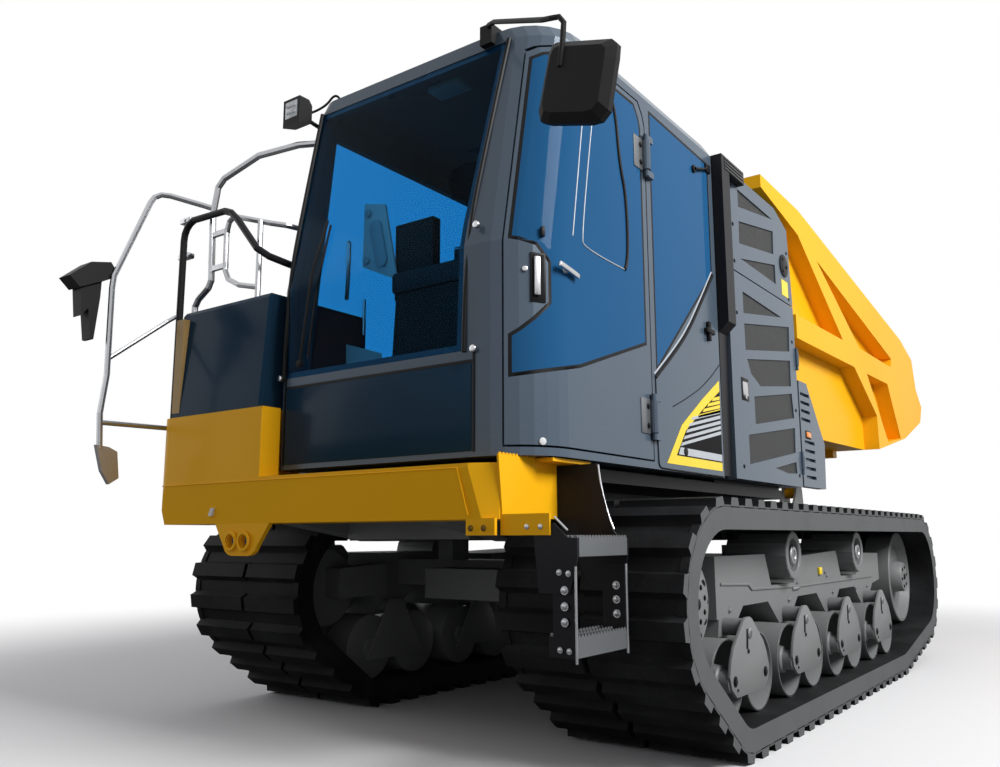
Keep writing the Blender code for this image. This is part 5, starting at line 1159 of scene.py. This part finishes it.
# %% Steps, apron and beam
LADDER_FRONT, LADDER_REAR = -2.31, -1.96


def saw_edge(start, end, level, pitch, height, depth):
    """Draw a strip whose upper edge is a saw, between two places at a level."""
    count = round((end - start) / pitch)
    points = []
    for i in range(count):
        at = start + (end - start) * i / count
        points += [(at, level), (at + pitch * 0.25, level + height), (at + pitch * 0.6, level + height)]
        points.append((at + pitch * 0.85, level))
    return points + [(end, level), (end, level - depth), (start, level - depth)]


grips = Shape()
for near, far, level, depth in ((1.08, 1.20, 0.856, 0.060), (1.085, 1.19, 0.54, 0.063)):
    for x in (near - 0.001, (near + far) / 2 - 0.0015, far - 0.002):
        shallow = 0.012 if near < x < far - 0.01 else depth
        grips.plate(saw_edge(LADDER_FRONT + 0.012, LADDER_REAR - 0.012, level, 0.021, 0.009, shallow),
                    "X", x, x + 0.003)
    for y in (LADDER_FRONT + 0.010, LADDER_REAR - 0.013):
        grips.plate(saw_edge(near, far, level, 0.020, 0.008, 0.012), "Y", y, y + 0.003)
grips.done("step_grips", step_grey)
# The steel bars along the hanger plates' outer edges are painted highlights where the edges catch the sun.
rims = Shape()
for y in (LADDER_FRONT + 0.004, LADDER_REAR - 0.004):
    rims.bar([(1.1905, y, 0.765), (1.1905, y, 0.46)], 0.0045, 8)
    rims.bar([(1.163, y, 0.88), (1.14, y, 0.90), (1.112, y, 0.925)] if y < -2.2 else
             [(1.146, y, 0.885), (1.10, y, 0.98), (1.086, y, 1.12)], 0.004, 8)
rims.done("ladder_edge_highlights", steel_and_highlight)
step_bolts = Shape()
step_bolts.bolts("Y", LADDER_FRONT, [(1.150, z) for z in (0.688, 0.637, 0.587)], 0.010, -0.007)
step_bolts.bolts("Y", LADDER_REAR - 0.013, [(1.155, z) for z in (0.690, 0.641, 0.592)], 0.010, -0.007)
step_bolts.bolts("Y", LADDER_FRONT, [(1.130, 0.745), (1.165, 0.742), (1.130, 0.500), (1.165, 0.498)],
                 0.007, -0.005)
step_bolts.done("step_bolts", steel_and_highlight)

apron_edge = Shape()
apron_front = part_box("step_apron")[0][1] - middle_y
apron_edge.plate(saw_edge(-2.335, -1.845, 1.141, 0.0205, 0.010, 0.006), "X", 0.900, 0.906)
apron_edge.done("apron_edge", yellow)
apron_bolts = Shape()
apron_bolts.bolts("Y", apron_front + 0.024, [(1.010, 0.893), (1.065, 0.893)], 0.010, -0.006)
apron_bolts.done("apron_bolts", steel_and_highlight)
beam_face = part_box("front_beam")[0][1] - middle_y
# The two holes in the beam are drawn as brown heads: painted shade inside the holes.
beam_hole_shades = Shape()
beam_hole_shades.bolts("Y", beam_face + 0.002, [(0.812, 0.889), (0.868, 0.889)], 0.008, -0.005)
beam_hole_shades.done("beam_hole_shades", hole_painted_shade)
weld = Shape()
for route, radius in (
        ([(0.752, -0.001, 1.100), (0.772, 0.004, 1.02), (0.790, 0.014, 0.935)], 0.0035),
        ([(-1.02, -0.001, 1.098), (-0.3, -0.001, 1.100), (0.752, -0.001, 1.100)], 0.0022),
        ([(-0.320, -0.001, 1.112), (-0.320, 0.0, 1.408)], 0.0035)):
    weld.bar([(x, beam_face + depth, z) for x, depth, z in route], radius, 8)
weld.done("beam_seams", yellow)
mark = Shape()
mark.plate([(-0.668, 0.955), (-0.648, 0.955), (-0.632, 0.990), (-0.652, 0.990)], "Y", beam_face + 0.004,
           beam_face + 0.018)
mark.done("beam_mark", white)
locker_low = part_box("front_locker")[0]
locker_face = locker_low[1] - middle_y
film_right, film_left = locker_low[0] - 0.001, locker_low[0] + 0.055
film = Shape()
film.plate([(film_right, 1.44), (film_left, 1.44), (film_left, 1.895), (film_right, 1.895)], "Y",
           locker_face - 0.001, locker_face + 0.060)
# The locker's front gets the same painted-shade grey as the front panel.
nodes["front_locker"].data.materials[0] = front_shade_grey
film.done("tan_edge", tan_film)
eyes = Shape()
for x in (-0.515, -0.427):
    eyes.turned([(-0.004, 0.030), (-0.004, 0.040), (0.0, 0.043), (0.004, 0.040), (0.004, 0.030),
                 (-0.004, 0.030)], (x, beam_face + 0.012, 0.845), "Y", 32)
eyes.done("tow_eye_rims", yellow)
print("front dressed")

# %% [markdown]
# The mirror glass faces back, towards the driver, so from the front only the black housings
# show. The lamp on the cab's corner has a clear lens over two rows of cells, and a looped cable.

# %% Mirrors, lamp and rail clamps
MIRROR_REAR_Y = -2.392
MIRROR_RIM = [(1.225, 2.53), (1.435, 2.468), (1.455, 2.445), (1.450, 2.40), (1.415, 2.225),
              (1.385, 2.198), (1.345, 2.20), (1.185, 2.245), (1.152, 2.262), (1.145, 2.30),
              (1.19, 2.50), (1.205, 2.528)]
face_glass = Shape()
face_glass.plate(inset(MIRROR_RIM, 0.016), "Y", MIRROR_REAR_Y - 0.004, MIRROR_REAR_Y + 0.002)
face_glass.done("mirror_left_glass", mirror)
lamp_low, lamp_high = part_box("work_lamp")
lamp_front = lamp_low[1] - middle_y
lamp_glass = Shape()
lamp_glass.block((lamp_low[0] + 0.014, lamp_low[0] + 0.100), (lamp_front - 0.001, lamp_front + 0.006),
                 (lamp_high[2] - 0.100, lamp_high[2] - 0.014), 0.003)
lamp_glass.done("lamp_lens", clear_lens)
cells = Shape()
for i in range(4):
    for drop in (0.040, 0.074):
        cells.disc("Y", (lamp_front - 0.005, lamp_front),
                   (lamp_low[0] + 0.030 + i * 0.018, 0, lamp_high[2] - drop), 0.007, 14)
cells.done("lamp_cells", white)
# The cable's points, from the lamp's right edge, its front and a level just under its top
CABLE = [(0.10, 0.09, 0.0), (0.16, 0.12, 0.02), (0.21, 0.14, 0.09), (0.25, 0.15, 0.03),
         (0.24, 0.15, -0.06)]
top = lamp_high[2] - 0.05
cable = Shape()
cable.bar([(lamp_low[0] + x, lamp_front + y, top + z) for x, y, z in CABLE], 0.006)
cable.done("lamp_cable", plastic)

clamps = Shape()
for z in (2.44, 2.253):
    clamps.block((-1.125, -1.035), (-2.300, -2.262), (z - 0.013, z + 0.013), 0.004)
    clamps.bolts("Y", -2.300, [(-1.08, z)], 0.007, -0.006)
clamps.done("rail_clamps", steel_and_highlight)
print("rails and lamp dressed")

# %% [markdown]
# The floor is pale and plain. As in the photograph, the sun stands on the machine's left, so its
# long side is bright and its front lies in shade: one large soft lamp does that. A weak lamp on
# the far side and an even world open the shadows. The backdrop's paleness comes from its colour
# and from what the camera sees of the world, not from more light on the machine.

# %% Floor, light and world
floor_mesh = bmesh.new()
bmesh.ops.create_grid(floor_mesh, x_segments=1, y_segments=1, size=40.0)
floor_paint = Paint("floor")
floor = to_object(floor_mesh, "floor", [floor_paint.material])
floor_paint.set(roughness=0.9, specular_ior_level=0.1)
# Far from the machine the floor fades into the white of the backdrop, as seen by the camera
away = floor_paint.node("ShaderNodeVectorMath", {"operation": "LENGTH"}, {0: floor_paint.place}, "Value")
far = floor_paint.node("ShaderNodeMapRange", {"interpolation_type": "SMOOTHSTEP"},
                       {"Value": away, "From Min": 3.6, "From Max": 8.0}, "Result")
looked_at = floor_paint.node("ShaderNodeLightPath", {}, {}, "Is Camera Ray")
# The camera sees a pale floor, but it throws little light up under the machine
floor_paint.set(base_color=floor_paint.between(looked_at, (0.22, 0.22, 0.22), (0.80, 0.80, 0.80)))
pale = floor_paint.tree.nodes.new("ShaderNodeEmission")
blend = floor_paint.tree.nodes.new("ShaderNodeMixShader")
floor_paint.feed(blend.inputs[0], far * looked_at)
floor_paint.tree.links.new(floor_paint.shader.outputs[0], blend.inputs[1])
floor_paint.tree.links.new(pale.outputs[0], blend.inputs[2])
floor_paint.tree.links.new(blend.outputs[0], floor_paint.tree.nodes["Material Output"].inputs[0])


def lamp(name, place, target, size, power):
    """Add a soft square lamp that points at a target."""
    light = bpy.data.lights.new(name, "AREA")
    light.size = size
    light.energy = power
    holder = bpy.data.objects.new(name, light)
    holder.location = place
    holder.rotation_euler = (Vector(target) - Vector(place)).to_track_quat("-Z", "Y").to_euler()
    bpy.context.scene.collection.objects.link(holder)


lamp("sun_side", (9.5, -1.5, 7.5), (0.0, 0.0, 1.2), 4.5, 1420.0)
lamp("far_side", (-8.0, -5.0, 4.0), (0.0, 0.0, 1.2), 6.0, 90.0)

world = bpy.data.worlds.new("studio")
world.use_nodes = True
bpy.context.scene.world = world
tree = world.node_tree
tree.nodes.clear()
path = tree.nodes.new("ShaderNodeLightPath")


def background(colour, strength):
    """Return an even light of a colour from all round."""
    node = tree.nodes.new("ShaderNodeBackground")
    node.inputs["Color"].default_value = (*colour, 1.0)
    node.inputs["Strength"].default_value = strength
    return node.outputs[0]


def larger(first, second):
    """Return the larger of two outputs of the world's nodes."""
    node = tree.nodes.new("ShaderNodeMath")
    node.operation = "MAXIMUM"
    tree.links.new(first, node.inputs[0])
    tree.links.new(second, node.inputs[1])
    return node.outputs[0]


mirrored_or_passed = larger(path.outputs["Is Glossy Ray"], path.outputs["Is Transmission Ray"])
mix = tree.nodes.new("ShaderNodeMixShader")
tree.links.new(larger(path.outputs["Is Camera Ray"], mirrored_or_passed), mix.inputs[0])
tree.links.new(background((0.95, 0.95, 1.0), 0.44), mix.inputs[1])
tree.links.new(background((1.0, 1.0, 1.0), 1.0), mix.inputs[2])
out = tree.nodes.new("ShaderNodeOutputWorld")
tree.links.new(mix.outputs[0], out.inputs["Surface"])
bpy.context.scene.view_settings.view_transform = "Standard"
print("light and floor ready")
